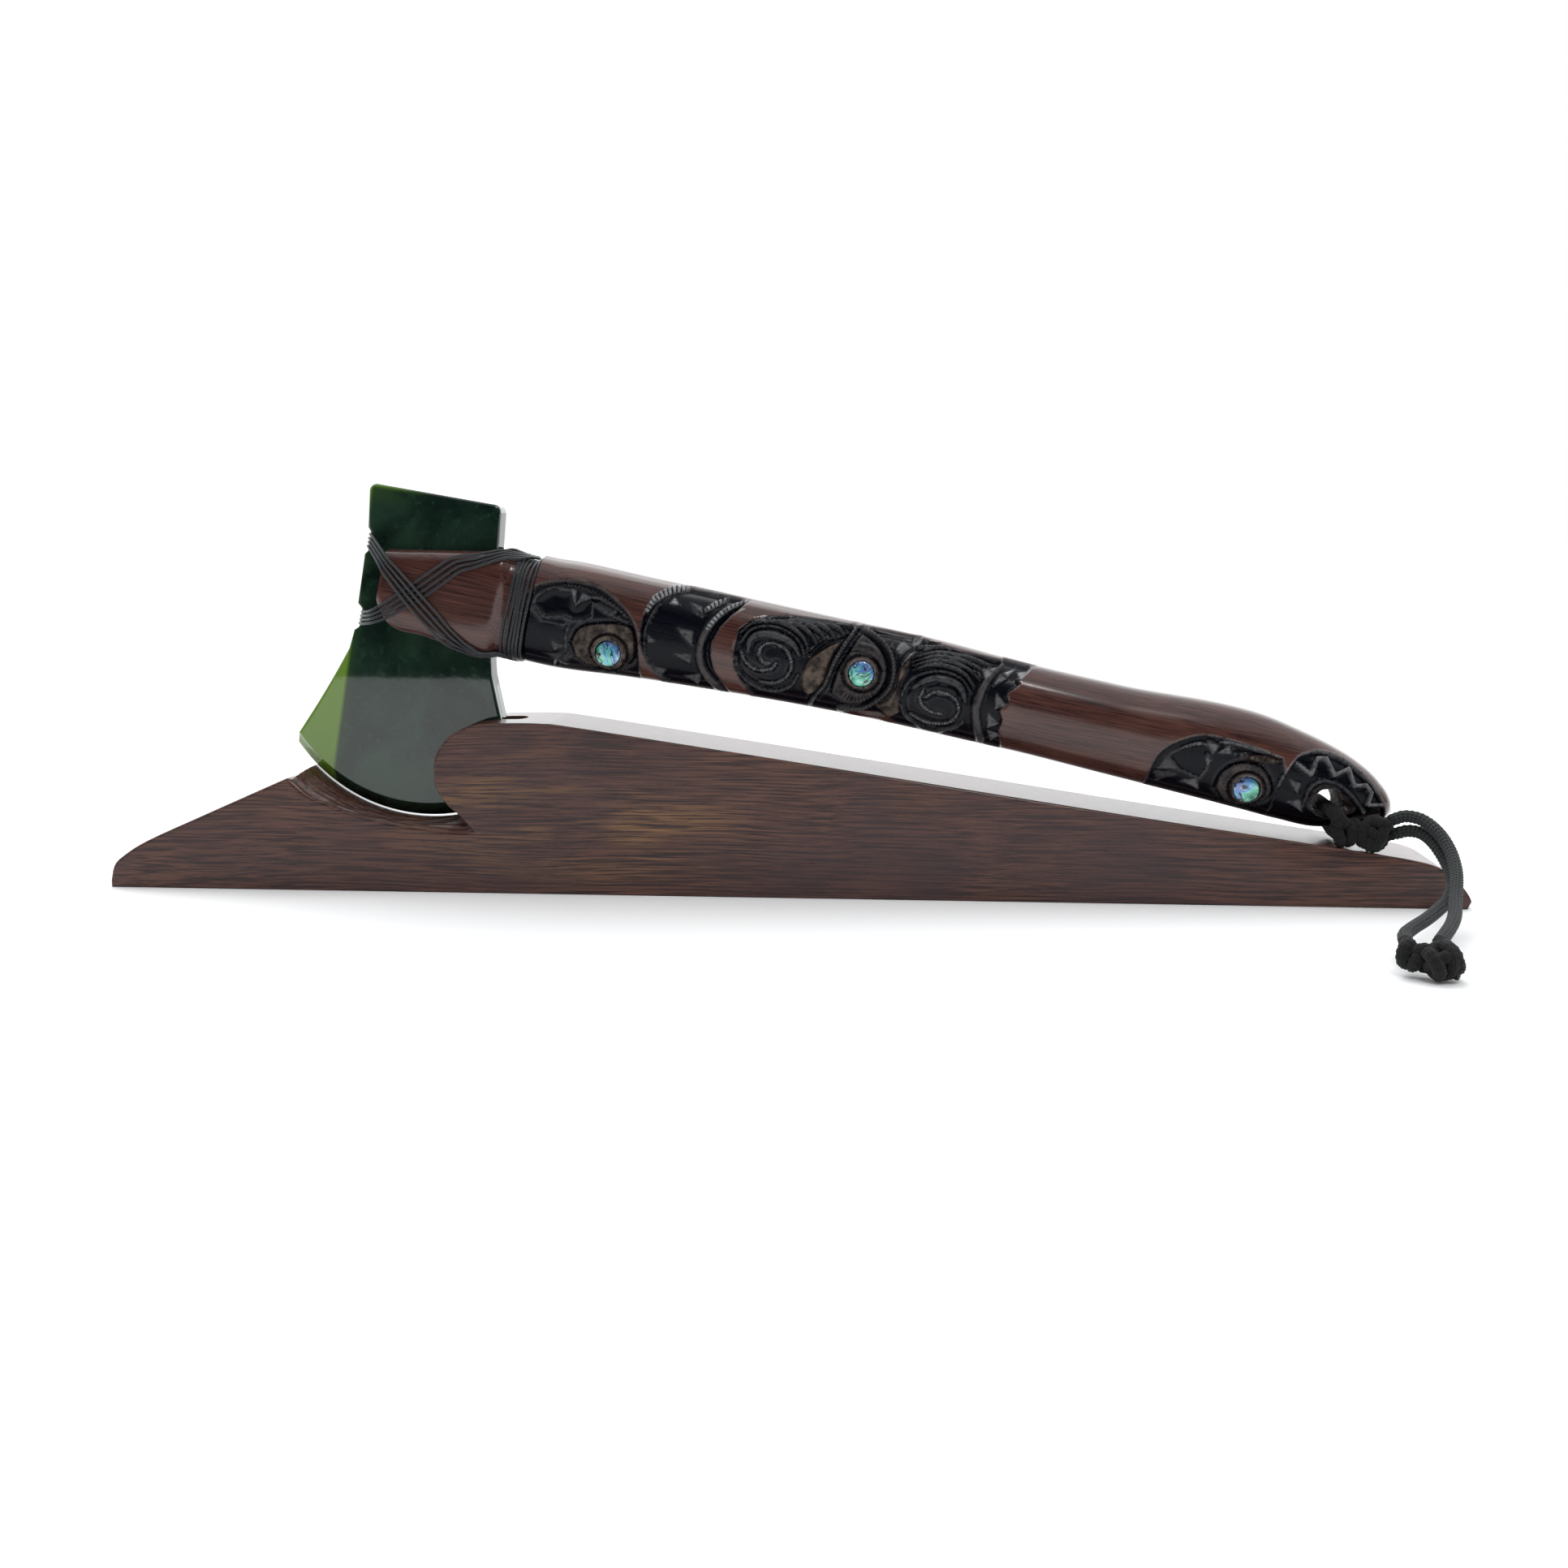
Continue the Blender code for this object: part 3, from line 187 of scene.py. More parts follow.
def add_studio():
    """The white sheet, surroundings that are bright behind and dark in front, and the soft overhead light."""
    white, tree, shader = new_material("white_sheet", Roughness=0.85, Specular_IOR_Level=0.2)
    place = own_place(tree)
    fibre = noise(tree, place, 900.0, 2.0)
    tone = eased(tree, fibre, 0.3, 0.7, 0.955, 0.965)
    paper = node(tree, "ShaderNodeCombineColor", {0: tone, 1: tone, 2: tone}).outputs[0]
    plug(tree, shader, Base_Color=paper)

    corners = [(-FLOOR_SIDE, FLOOR_FRONT, 0), (FLOOR_SIDE, FLOOR_FRONT, 0),
               (FLOOR_SIDE, FLOOR_BACK, 0), (-FLOOR_SIDE, FLOOR_BACK, 0)]
    mesh = bpy.data.meshes.new("sheet")
    mesh.from_pydata(corners, [], [(0, 1, 2, 3)])
    add_piece("sheet", mesh, white)

    world = bpy.data.worlds.new("studio")
    world.use_nodes = True
    scene.world = world
    tree = world.node_tree
    tree.nodes.clear()
    look = node(tree, "ShaderNodeTexCoord").outputs["Generated"]
    way = node(tree, "ShaderNodeSeparateXYZ", {0: look})
    lit = plus(tree, times(tree, way.outputs[1], 0.9), 0.35)
    lit = plus(tree, times(tree, way.outputs[2], 1.1), lit)
    boost = minus(tree, times(tree, way.outputs[1], 0.9), 0.3)
    boost = minus(tree, boost, times(tree, way.outputs[2], 0.35))
    glow = plus(tree, eased(tree, lit, 0.0, 1.0, 0.03, 1.20), eased(tree, boost, 0.0, 0.5, 0.0, 1.05))
    room = node(tree, "ShaderNodeBackground", {"Color": (0.97, 0.985, 1.0, 1.0), "Strength": glow})
    plain = node(tree, "ShaderNodeBackground", {"Color": (1.0, 1.0, 1.0, 1.0), "Strength": 1.0})
    seen = node(tree, "ShaderNodeLightPath").outputs["Is Camera Ray"]
    mixed = node(tree, "ShaderNodeMixShader", {0: seen, 1: room.outputs[0], 2: plain.outputs[0]})
    node(tree, "ShaderNodeOutputWorld", {"Surface": mixed.outputs[0]})

    softbox = bpy.data.lights.new("softbox", "SUN")
    softbox.energy = 1.1
    softbox.angle = math.radians(50)
    lamp = bpy.data.objects.new("softbox", softbox)
    lamp.rotation_euler = (math.radians(-28), math.radians(-14), 0.0)
    scene.collection.objects.link(lamp)

    window = bpy.data.lights.new("window", "AREA")
    window.energy = 1.6
    window.size = 0.16
    pane = bpy.data.objects.new("window", window)
    pane.location = (0.22, -0.60, 0.72)
    pane.rotation_euler = (Vector((0.0, 0.0, 0.06)) - pane.location).to_track_quat("-Z", "Y").to_euler()
    scene.collection.objects.link(pane)
    scene.view_settings.view_transform = "Standard"


add_studio()


# Wooden stand
# One long wedge of close-grained hardwood, stained dark and polished. Its nose is a hook with a slot for the
# blade, and the bed for the cutting edge is cut with a gouge, in long facets that follow the curve.

STAND_HALF = 18.0
STAND_ARRIS = 0.8
BED_CENTRE = (-120.6, 80.4)
BED_RADIUS = 56.6
BED_FRONT = ((-166.1, 38.8), (-159.4, 33.3), (-152.6, 30.4), (-143.8, 27.3), (-130.0, 24.1), (-116.2, 22.1),
             (-106.4, 21.2), (-101.9, 21.5))
FACET_WIDTH = 2.3
FACET_HOLLOW = 0.55
FACET_SLANT = 2.6
EVEN_HALF = 6.0
BED_STEPS = 47
STAND_LEVELS = 66
BLADE_ROOM = 5.3
SLOT_FLOOR_END = 31.7
SLOT_FLOOR_LIFT = 0.03
SLIVER = 0.002
SLOT_END_X = -83.9
SLOT_TOP = 75.0
TOE = ((-229.9, 0.0), (-229.9, 2.4), (-228.6, 7.5), (-225.3, 10.9), (-216.4, 16.4), (-195.8, 25.7))
BED_LIP = (-166.1, 38.8)
NOTCH = (-101.8, 24.6)
NOSE = ((-108.3, 28.2), (-111.9, 32.0), (-114.4, 36.8), (-114.8, 41.2), (-114.3, 46.0), (-112.0, 50.6),
        (-107.6, 54.8), (-101.4, 57.4), (-95.7, 58.2), (-90.3, 58.4), (-78.0, 58.35))
SLOPE = ((-66.0, 57.1), (-3.8, 48.0), (49.6, 40.0), (111.6, 30.6), (177.2, 21.0), (208.5, 16.4))
TAIL = ((219.9, 13.3), (226.3, 7.9), (229.0, 4.5), (229.9, 2.5), (228.7, 0.0))


def curve_place(a, b, c, d, t):
    """A place between the second and third of four points, on a smooth curve through them."""
    return b + 0.5 * t * (c - a + t * (2 * a - 5 * b + 4 * c - d + t * (3 * (b - c) + d - a)))


def smooth(points, step):
    """Points about a step apart on a curve that passes through the chosen points."""
    chosen = np.array(points, float)
    padded = np.vstack([2 * chosen[0] - chosen[1], chosen, 2 * chosen[-1] - chosen[-2]])
    found = []
    for k in range(len(chosen) - 1):
        a, b, c, d = padded[k:k + 4]
        count = max(int(math.ceil(np.linalg.norm(c - b) / step)), 1)
        for m in range(count):
            found.append(curve_place(a, b, c, d, m / count))
    return [tuple(float(x) for x in point) for point in found + [chosen[-1]]]


def pulled_in(outline, inset):
    """A clockwise outline moved inwards by an even distance."""
    moved = []
    for k, here in enumerate(outline):
        before = Vector(here) - Vector(outline[k - 1])
        after = Vector(outline[(k + 1) % len(outline)]) - Vector(here)
        one = Vector((before.y, -before.x)).normalized()
        two = Vector((after.y, -after.x)).normalized()
        moved.append(tuple(Vector(here) + (one + two) * inset / (1 + one.dot(two))))
    return moved


def lofted(name, rings):
    """A closed body through rings of points in metres, with a cap at both ends."""
    count = len(rings[0])
    places = [point for ring in rings for point in ring]
    faces = []
    for one in range(0, len(places) - count, count):
        two = one + count
        faces += [(one + m, one + (m + 1) % count, two + (m + 1) % count, two + m) for m in range(count)]
    faces.append(tuple(range(count)))
    faces.append(tuple(range(len(places) - count, len(places))))
    mesh = bpy.data.meshes.new(name)
    mesh.from_pydata(places, [], faces)
    body = bmesh.new()
    body.from_mesh(mesh)
    bmesh.ops.recalc_face_normals(body, faces=body.faces)
    body.to_mesh(mesh)
    body.free()
    return mesh


def cut_from(piece, cutters, creased=False):
    """Take each cutter out of the piece. A creased piece has skins that touch at a sharp notch."""
    for cutter in cutters:
        modifier = piece.modifiers.new(cutter.name, "BOOLEAN")
        modifier.operation = "DIFFERENCE"
        modifier.solver = "EXACT"
        modifier.material_mode = "TRANSFER"
        modifier.use_self = creased
        modifier.object = cutter
    settle(piece)
    body = bmesh.new()
    body.from_mesh(piece.data)
    bmesh.ops.dissolve_degenerate(body, dist=SLIVER * MM, edges=body.edges)
    body.to_mesh(piece.data)
    body.free()
    for cutter in cutters:
        bpy.data.objects.remove(cutter)


def bed_facets(depth, turn):
    """How far the gouge has cut below the even bed, at a depth and a share of the way along it."""
    beyond = max(abs(depth) - EVEN_HALF, 0.0)
    across = (beyond + FACET_SLANT * turn * math.copysign(1, depth)) / FACET_WIDTH
    fade = min(beyond / 1.5, 1.0) * min(turn / 0.08, (1 - turn) / 0.04, 1.0)
    return FACET_HOLLOW * abs(math.sin(math.pi * across)) * max(fade, 0.0)


def stand_outline(depth):
    """The side outline of the wedge at one depth, clockwise from the toe."""
    first = math.atan2(BED_LIP[1] - BED_CENTRE[1], BED_LIP[0] - BED_CENTRE[0])
    last = math.atan2(NOTCH[1] - BED_CENTRE[1], NOTCH[0] - BED_CENTRE[0])
    out = min(max((abs(depth) - EVEN_HALF) / (STAND_HALF - EVEN_HALF), 0.0), 1.0) ** 2.2
    front = np.array(smooth(BED_FRONT, 0.5))
    share = np.linspace(0, 1, len(front))
    bed = []
    for k in range(1, BED_STEPS + 1):
        turn = k / BED_STEPS
        angle = first + (last - first) * turn
        inner = (BED_CENTRE[0] + BED_RADIUS * math.cos(angle), BED_CENTRE[1] + BED_RADIUS * math.sin(angle))
        outer = [float(np.interp(turn, share, front[:, axis])) for axis in (0, 1)]
        x, z = (a * (1 - out) + b * out for a, b in zip(inner, outer))
        bed.append((x, z - bed_facets(depth, turn)))
    toe = smooth(TOE[1:] + (BED_LIP,), 2.0)
    nose = smooth((NOTCH,) + NOSE + SLOPE[:2], 1.5)
    for k, pull in enumerate((0.0, 0.75, 0.5, 0.25)):
        nose[k] = (nose[k][0], nose[k][1] - pull * out * (NOTCH[1] - BED_FRONT[-1][1]))
    tail = smooth(SLOPE[-2:] + TAIL[:-1], 1.5)
    return [TOE[0]] + toe + bed + nose[1:] + list(SLOPE[2:-2]) + tail + [TAIL[-1]]


def stand_mesh():
    """The wedge, as outlines side by side across its thickness."""
    levels = []
    for k in range(4):
        turn = math.pi / 2 * (1 - k / 3)
        levels.append((STAND_HALF - STAND_ARRIS * (1 - math.sin(turn)), STAND_ARRIS * (1 - math.cos(turn))))
    inner = list(np.linspace(STAND_HALF - STAND_ARRIS, -(STAND_HALF - STAND_ARRIS), STAND_LEVELS))[1:-1]
    levels += [(depth, 0.0) for depth in inner] + [(-depth, inset) for depth, inset in levels[::-1]]
    rings = []
    for depth, inset in levels:
        outline = pulled_in(stand_outline(depth), inset)
        rings.append([Vector((x, depth, z)) * MM for x, z in outline])
    return lofted("stand_wedge", rings)


def slot_cutter():
    """The solid that cuts the blade's slot: round at its far end, open at the nose, just off the bed."""
    rings = []
    radius = BED_RADIUS - SLOT_FLOOR_LIFT
    first = -math.pi / 2 - 0.2
    last = -math.pi / 2 + math.asin(SLOT_FLOOR_END / BED_RADIUS)
    for depth in BLADE_ROOM * np.sin(np.linspace(-math.pi / 2, math.pi / 2, 13)):
        end = SLOT_END_X - BLADE_ROOM + math.sqrt(max(BLADE_ROOM**2 - depth**2, 0.0)) * 0.999
        floor = []
        for angle in np.linspace(first, last, 40):
            x = BED_CENTRE[0] + radius * math.cos(angle)
            z = BED_CENTRE[1] + radius * math.sin(angle)
            floor.append((min(x, end), z + max(x - end, 0.0)))
        outline = floor + [(end, SLOT_TOP), (floor[0][0], SLOT_TOP)]
        rings.append([Vector((x, depth, z)) * MM for x, z in outline])
    return bpy.data.objects.new("slot_cutter", lofted("slot_cutter", rings))


def wood_fibre_group():
    """Streaks, pores and broad figure of wood whose fibres run along the X of the coordinates it is given."""
    found = [(name, "Float") for name in ("Streaks", "Pores", "Figure")]
    group, given = new_group("wood_fibre", "ShaderNodeTree", [("Place", "Vector"), ("Fineness", "Float")],
                             found)
    wander = node(group, "ShaderNodeTexNoise", {"Vector": given[0], "Scale": 14.0, "Detail": 1.0}).outputs[1]
    drift = vectors(group, "MULTIPLY", wander, (0.0, 0.004, 0.004))
    place = vectors(group, "ADD", given[0], drift)
    fine = node(group, "ShaderNodeVectorMath", {0: place, "Scale": given[1]}, operation="SCALE").outputs[0]
    parts = []
    for stretch, scale, detail in (((1.0, 42.0, 42.0), 40.0, 5.0), ((1.0, 12.0, 12.0), 330.0, 3.0),
                                   ((1.0, 4.5, 4.5), 16.0, 2.0)):
        drawn = vectors(group, "MULTIPLY", fine, stretch)
        sockets = {"Vector": drawn, "Scale": scale, "Detail": detail, "Roughness": 0.6}
        parts.append(node(group, "ShaderNodeTexNoise", sockets).outputs[0])
    pores = eased(group, parts[1], 0.60, 0.72)
    node(group, "NodeGroupOutput", {0: parts[0], 1: pores, 2: parts[2]})
    return group


wood_fibre = wood_fibre_group()


def fibre_of(tree, place, fineness):
    """The wood's streaks, pores and figure, at the coordinates given."""
    made = node(tree, "ShaderNodeGroup", node_tree=wood_fibre)
    tree.links.new(place, made.inputs["Place"])
    made.inputs["Fineness"].default_value = fineness
    return made.outputs["Streaks"], made.outputs["Pores"], made.outputs["Figure"]


def stand_wood_material():
    """Dark stained hardwood: fine level grain, a golden figure behind the nose, and more gloss in the bed."""
    material, tree, shader = new_material("stand_wood", Coat_Roughness=0.10,
                                          Specular_IOR_Level=0.3)
    place = own_place(tree)
    streaks, pores, figure = fibre_of(tree, place, 1.0)
    dark = (0.024, 0.0100, 0.0096)
    light = (0.126, 0.054, 0.038)
    gold = (0.34, 0.18, 0.065)
    colour = blended(tree, eased(tree, streaks, 0.40, 0.60), dark, light)
    patch = vectors(tree, "SUBTRACT", place, (-0.072, -0.018, 0.026))
    spread = vectors(tree, "MULTIPLY", patch, (17.0, 8.0, 46.0))
    away = node(tree, "ShaderNodeVectorMath", {0: spread}, operation="LENGTH").outputs["Value"]
    near = eased(tree, away, 1.15, 0.2)
    bands = eased(tree, figure, 0.46, 0.62)
    shine = times(tree, times(tree, near, bands), eased(tree, streaks, 0.42, 0.58))
    colour = blended(tree, shine, colour, gold)
    cloud = noise(tree, place, 26.0, 2.0)
    colour = blended(tree, eased(tree, cloud, 0.42, 0.68, 0.0, 0.6), colour, (0.044, 0.022, 0.027))
    colour = blended(tree, times(tree, pores, 0.45), colour, (0.014, 0.007, 0.007))
    rough = eased(tree, streaks, 0.3, 0.7, 0.30, 0.42)
    axes = node(tree, "ShaderNodeSeparateXYZ", {0: place}).outputs
    depth = maths(tree, "ABSOLUTE", axes[1])
    bed = times(tree, eased(tree, depth, (STAND_HALF - 0.9) * MM, (STAND_HALF - 1.6) * MM),
                eased(tree, axes[0], (NOTCH[0] + 0.5) * MM, NOTCH[0] * MM))
    plug(tree, shader, Coat_Weight=eased(tree, bed, 0.0, 1.0, 0.20, 0.9))
    relief = minus(tree, times(tree, streaks, 0.5), times(tree, pores, 0.8))
    bump = bumped(tree, relief, 0.22, 0.0002)
    plug(tree, shader, Base_Color=colour, Roughness=rough, Normal=bump)
    return material


stand_wood = stand_wood_material()
stand = add_piece("stand_wedge", stand_mesh(), stand_wood)
cut_from(stand, [slot_cutter()], creased=True)
shade(stand.data, 32, 40)
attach(stand, "root")
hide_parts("stand")


# Carved handle
# One piece of reddish hardwood, open at the head to hold the blade between two cheeks. Brows, eyes, spirals
# and toothed bands are cut into both faces and stained black, and the plain wood between them is polished.

TILT = math.radians(12.5416)
IN_THE_STAND = Matrix.Translation((-0.133846, 0.0, 0.104528)) @ Matrix.Rotation(TILT, 4, "Y")
HEAD_HALF = 12.2
BODY_HALF = 14.5

# Each row: along, top, bottom, half depth, squareness of the section
SECTIONS = np.array([
    (0.3, 12.1, -7.0, HEAD_HALF - 0.5, 6.0),
    (4.2, 12.9, -12.3, HEAD_HALF, 6.0),
    (18.0, 15.7, -14.3, HEAD_HALF, 6.0),
    (34.0, 18.8, -16.1, HEAD_HALF, 5.0),
    (40.0, 19.9, -16.3, HEAD_HALF, 4.0),
    (43.0, 19.3, -14.9, HEAD_HALF - 1.1, 3.2),
    (51.9, 19.5, -14.7, HEAD_HALF - 1.1, 3.0),
    (52.8, 21.7, -15.2, BODY_HALF * 0.93, 2.8),
    (54.8, 21.7, -15.2, BODY_HALF * 0.93, 2.8),
    (66.0, 22.4, -14.9, BODY_HALF * 0.99, 2.8),
    (87.0, 22.5, -12.8, BODY_HALF, 2.8),
    (123.0, 23.0, -10.2, BODY_HALF, 2.8),
    (150.0, 23.2, -8.7, BODY_HALF * 0.99, 2.7),
    (185.0, 23.5, -7.9, BODY_HALF * 0.98, 2.6),
    (220.0, 22.3, -7.9, BODY_HALF * 0.95, 2.5),
    (250.0, 22.2, -8.5, BODY_HALF * 0.95, 2.5),
    (287.0, 23.8, -9.3, BODY_HALF * 0.98, 2.6),
    (300.0, 23.2, -9.7, BODY_HALF, 2.6),
    (312.0, 21.1, -10.1, BODY_HALF, 2.6),
    (324.0, 18.3, -10.0, BODY_HALF * 0.98, 2.6),
    (333.0, 15.2, -7.9, BODY_HALF * 0.91, 2.5),
    (341.0, 10.8, -5.0, BODY_HALF * 0.78, 2.4),
    (346.0, 6.2, -2.3, BODY_HALF * 0.55, 2.3),
    (348.5, 2.0, -0.2, BODY_HALF * 0.16, 2.2),
])


def section(along):
    """Top, bottom, half depth and squareness of the handle at a place, on a smooth curve through the rows."""
    rows = SECTIONS
    k = int(np.clip(np.searchsorted(rows[:, 0], along) - 1, 0, len(rows) - 2))
    width = rows[k + 1, 0] - rows[k, 0]
    t = (along - rows[k, 0]) / width
    slope = (rows[1:, 1:] - rows[:-1, 1:]) / np.diff(rows[:, 0])[:, None]
    before = slope[max(k - 1, 0)]
    after = slope[min(k + 1, len(slope) - 1)]
    here = slope[k]
    start = np.where(before * here > 0, (before + here) / 2, 0.0)
    end = np.where(after * here > 0, (after + here) / 2, 0.0)
    ease = t * t * (3 - 2 * t)
    return (
        rows[k, 1:] * (1 - ease) + rows[k + 1, 1:] * ease
        + width * (start * t * (1 - t) ** 2 - end * t * t * (1 - t))
    )


def skin(along, angle):
    """Depth, up and outward direction of the smooth handle: angle 0 is the front, a quarter turn the top."""
    top, bottom, half_depth, power = section(along)
    half_height = (top - bottom) / 2
    c, s = np.cos(angle), np.sin(angle)
    reach = (np.abs(c / half_depth) ** power + np.abs(s / half_height) ** power) ** (-1 / power)
    depth, rise = -reach * c, reach * s
    out_depth = np.copysign(np.abs(depth / half_depth) ** (power - 1) / half_depth, depth)
    out_up = np.copysign(np.abs(rise / half_height) ** (power - 1) / half_height, rise)
    size = np.hypot(out_depth, out_up)
    return depth, (top + bottom) / 2 + rise, out_depth / size, out_up / size


def front_depth(along, up):
    """How far the smooth front stands from the middle plane at a place."""
    top, bottom, half_depth, power = section(along)
    share = abs(up - (top + bottom) / 2) / ((top - bottom) / 2)
    return half_depth * max(1 - share**power, 0.0) ** (1 / power)


class Relief:
    """The carving of a face: its height over the smooth handle, its stain and bareness, its painted
    highlights and the places of its nicks.
    """

    def __init__(self, along, up):
        self.along = along
        self.up = up
        self.height = np.zeros_like(along)
        self.stain = np.zeros_like(along)
        self.bare = np.zeros_like(along)
        # Where a light grey highlight is painted, on chosen crests and chips.
        self.shine = np.zeros_like(along)
        self.turns = np.zeros_like(along)
        self.nicked = np.zeros_like(along)

    def near(self, path):
        """Distance to a path, and how far along the path its nearest place is."""
        best = np.full_like(self.along, 1e9)
        run = np.zeros_like(self.along)
        gone = 0.0
        for (ax, ay), (bx, by) in zip(path, path[1:]):
            dx, dy = bx - ax, by - ay
            length = math.hypot(dx, dy) + 1e-9
            t = np.clip(((self.along - ax) * dx + (self.up - ay) * dy) / length**2, 0, 1)
            away = np.hypot(self.along - ax - t * dx, self.up - ay - t * dy)
            closer = away < best
            best = np.where(closer, away, best)
            run = np.where(closer, gone + t * length, run)
            gone += length
        return best, run

    def within(self, outline):
        """Signed distance: positive inside a closed outline."""
        outline = list(outline)
        inside = np.zeros(self.along.shape, bool)
        for (ax, ay), (bx, by) in zip(outline, outline[1:] + outline[:1]):
            spans = (ay > self.up) != (by > self.up)
            crossing = ax + (self.up - ay) * (bx - ax) / ((by - ay) or 1e-9)
            inside ^= spans & (self.along < crossing)
        away, _ = self.near(outline + outline[:1])
        return np.where(inside, away, -away)

    def colour(self, share, stain, bare=0.0):
        """Stain or bare the wood over a share of the surface."""
        self.stain = self.stain * (1 - share) + stain * share
        self.bare = self.bare * (1 - share) + bare * share

    def level(self, outline, height, wall=0.7, stain=1.0, bare=0.0):
        """Bring everything inside an outline to one height, with a steep wall round it."""
        inward = self.within(outline)
        share = np.clip(inward / wall, 0, 1)
        share = share * share * (3 - 2 * share)
        self.height = self.height * (1 - share) + height * share
        self.colour(np.clip(inward / 0.5 + 0.5, 0, 1), stain, bare)

    def bowl(self, outline, edge, middle, wall=0.5, reach=4.0):
        """A hollow that deepens smoothly away from its outline."""
        inward = self.within(outline)
        share = np.clip(inward / wall, 0, 1)
        deep = np.clip(inward / reach, 0, 1)
        shape = edge + (middle - edge) * (1 - (1 - deep) ** 2)
        self.height = self.height * (1 - share) + shape * share

    def brush(self, path, width, stain, bare):
        """Stain or bare the wood along a path."""
        away, _ = self.near(path)
        self.colour(np.clip((width / 2 - away) / 0.4 + 0.5, 0, 1), stain, bare)

    def bar(self, path, width, crest, foot=1.5, pitch=0.0, notch=0.0, shine=0.0):
        """A rounded ridge along a path, with notches across it. Several widths are spread along the path."""
        away, run = self.near(path)
        if not np.isscalar(width):
            width = np.interp(run / run.max(), np.linspace(0, 1, len(width)), width)
        share = np.clip(1 - (away / (width / 2)) ** 2, 0, 1)
        notches = (0.5 + 0.5 * np.cos(2 * math.pi * run / pitch)) ** 2 if pitch else 0.0
        shape = crest - notch * notches - foot * (1 - share**0.7)
        self.height = np.where(share > 0, np.maximum(self.height, shape), self.height)
        self.shine = np.maximum(self.shine, shine * np.clip(share * 2 - 0.3, 0, 1))
        if pitch:
            self.nick(run / pitch, np.clip(share * 3, 0, 1) * min(notch / 0.9, 1.0))

    def nick(self, turns, depth):
        """Store where each place lies between two cut nicks, so that the finish bumps the same nicks and
        paints shade into them.
        """
        deeper = depth > self.nicked
        self.turns = np.where(deeper, turns, self.turns)
        self.nicked = np.where(deeper, depth, self.nicked)

    def cut(self, path, width, depth, sharp=1.0):
        """A groove along a path, rounded or sharp."""
        away, _ = self.near(path)
        share = np.clip(1 - (away / (width / 2)) ** (2 / sharp), 0, 1)
        self.height = self.height - depth * share

    def nicks(self, path, width, pitch, depth):
        """Short cuts across a path, at an even pitch."""
        away, run = self.near(path)
        share = np.clip(1 - (away / (width / 2)) ** 2, 0, 1)
        self.height = self.height - depth * share * (0.5 + 0.5 * np.cos(2 * math.pi * run / pitch)) ** 2
        self.nick(run / pitch, np.clip(share * 3, 0, 1) * min(depth / 0.9, 1.0))

    def facet(self, corners, heights, shine=0.0):
        """A flat chip with three or more corners, whose plane passes through the first three heights."""
        places = np.array([(x, y, 1.0) for x, y in corners[:3]])
        plane = np.linalg.solve(places, np.array(heights[:3], float))
        inward = self.within(corners)
        share = np.clip(inward / 0.35, 0, 1)
        slope = plane[0] * self.along + plane[1] * self.up + plane[2]
        self.height = self.height * (1 - share) + slope * share
        self.colour(np.clip(inward / 0.5 + 0.5, 0, 1), 1.0)
        self.shine = self.shine * (1 - share) + shine * share
        self.nicked = self.nicked * (1 - share)


EYES = ((81.6, -5.2), (165.9, 7.2), (298.2, -1.7))
FIELD = -1.9


def carve_eye(relief, centre, outline, ring_radii, stain=0.1):
    """A shell eye: an almond of bare wood with a nicked rim, a round groove, and a flat bezel."""
    bezel, groove = ring_radii
    closed = outline + outline[:1]
    relief.level(outline, -0.35, 0.8, stain, 1.0)
    relief.nicks(closed, 2.4, 0.95, 0.35)
    relief.cut(closed, 1.1, 0.6)
    relief.brush(closed, 1.0, 1.0, 0.0)
    away = np.hypot(relief.along - centre[0], relief.up - centre[1])
    trench = np.clip(1 - (np.abs(away - (bezel + groove) / 2) / ((groove - bezel) / 2)) ** 4, 0, 1)
    relief.height = np.where(away < groove, np.minimum(relief.height, 0.1 - 1.45 * trench), relief.height)
    relief.height = np.where(away < bezel, 0.12 - 0.5 * np.clip((away - bezel + 0.7) / 0.7, 0, 1) ** 2,
                             relief.height)
    relief.colour(np.clip(bezel - away + 0.5, 0, 1), 0.1, 1.0)
    relief.colour(trench, 0.95, 0.2)
    around = np.arctan2(relief.up - centre[1], relief.along - centre[0])
    lip = np.clip(1 - np.abs(away - groove - 0.5) / 0.7, 0, 1)
    relief.height = relief.height - 0.3 * lip * (0.5 + 0.5 * np.cos(around * 34)) ** 2


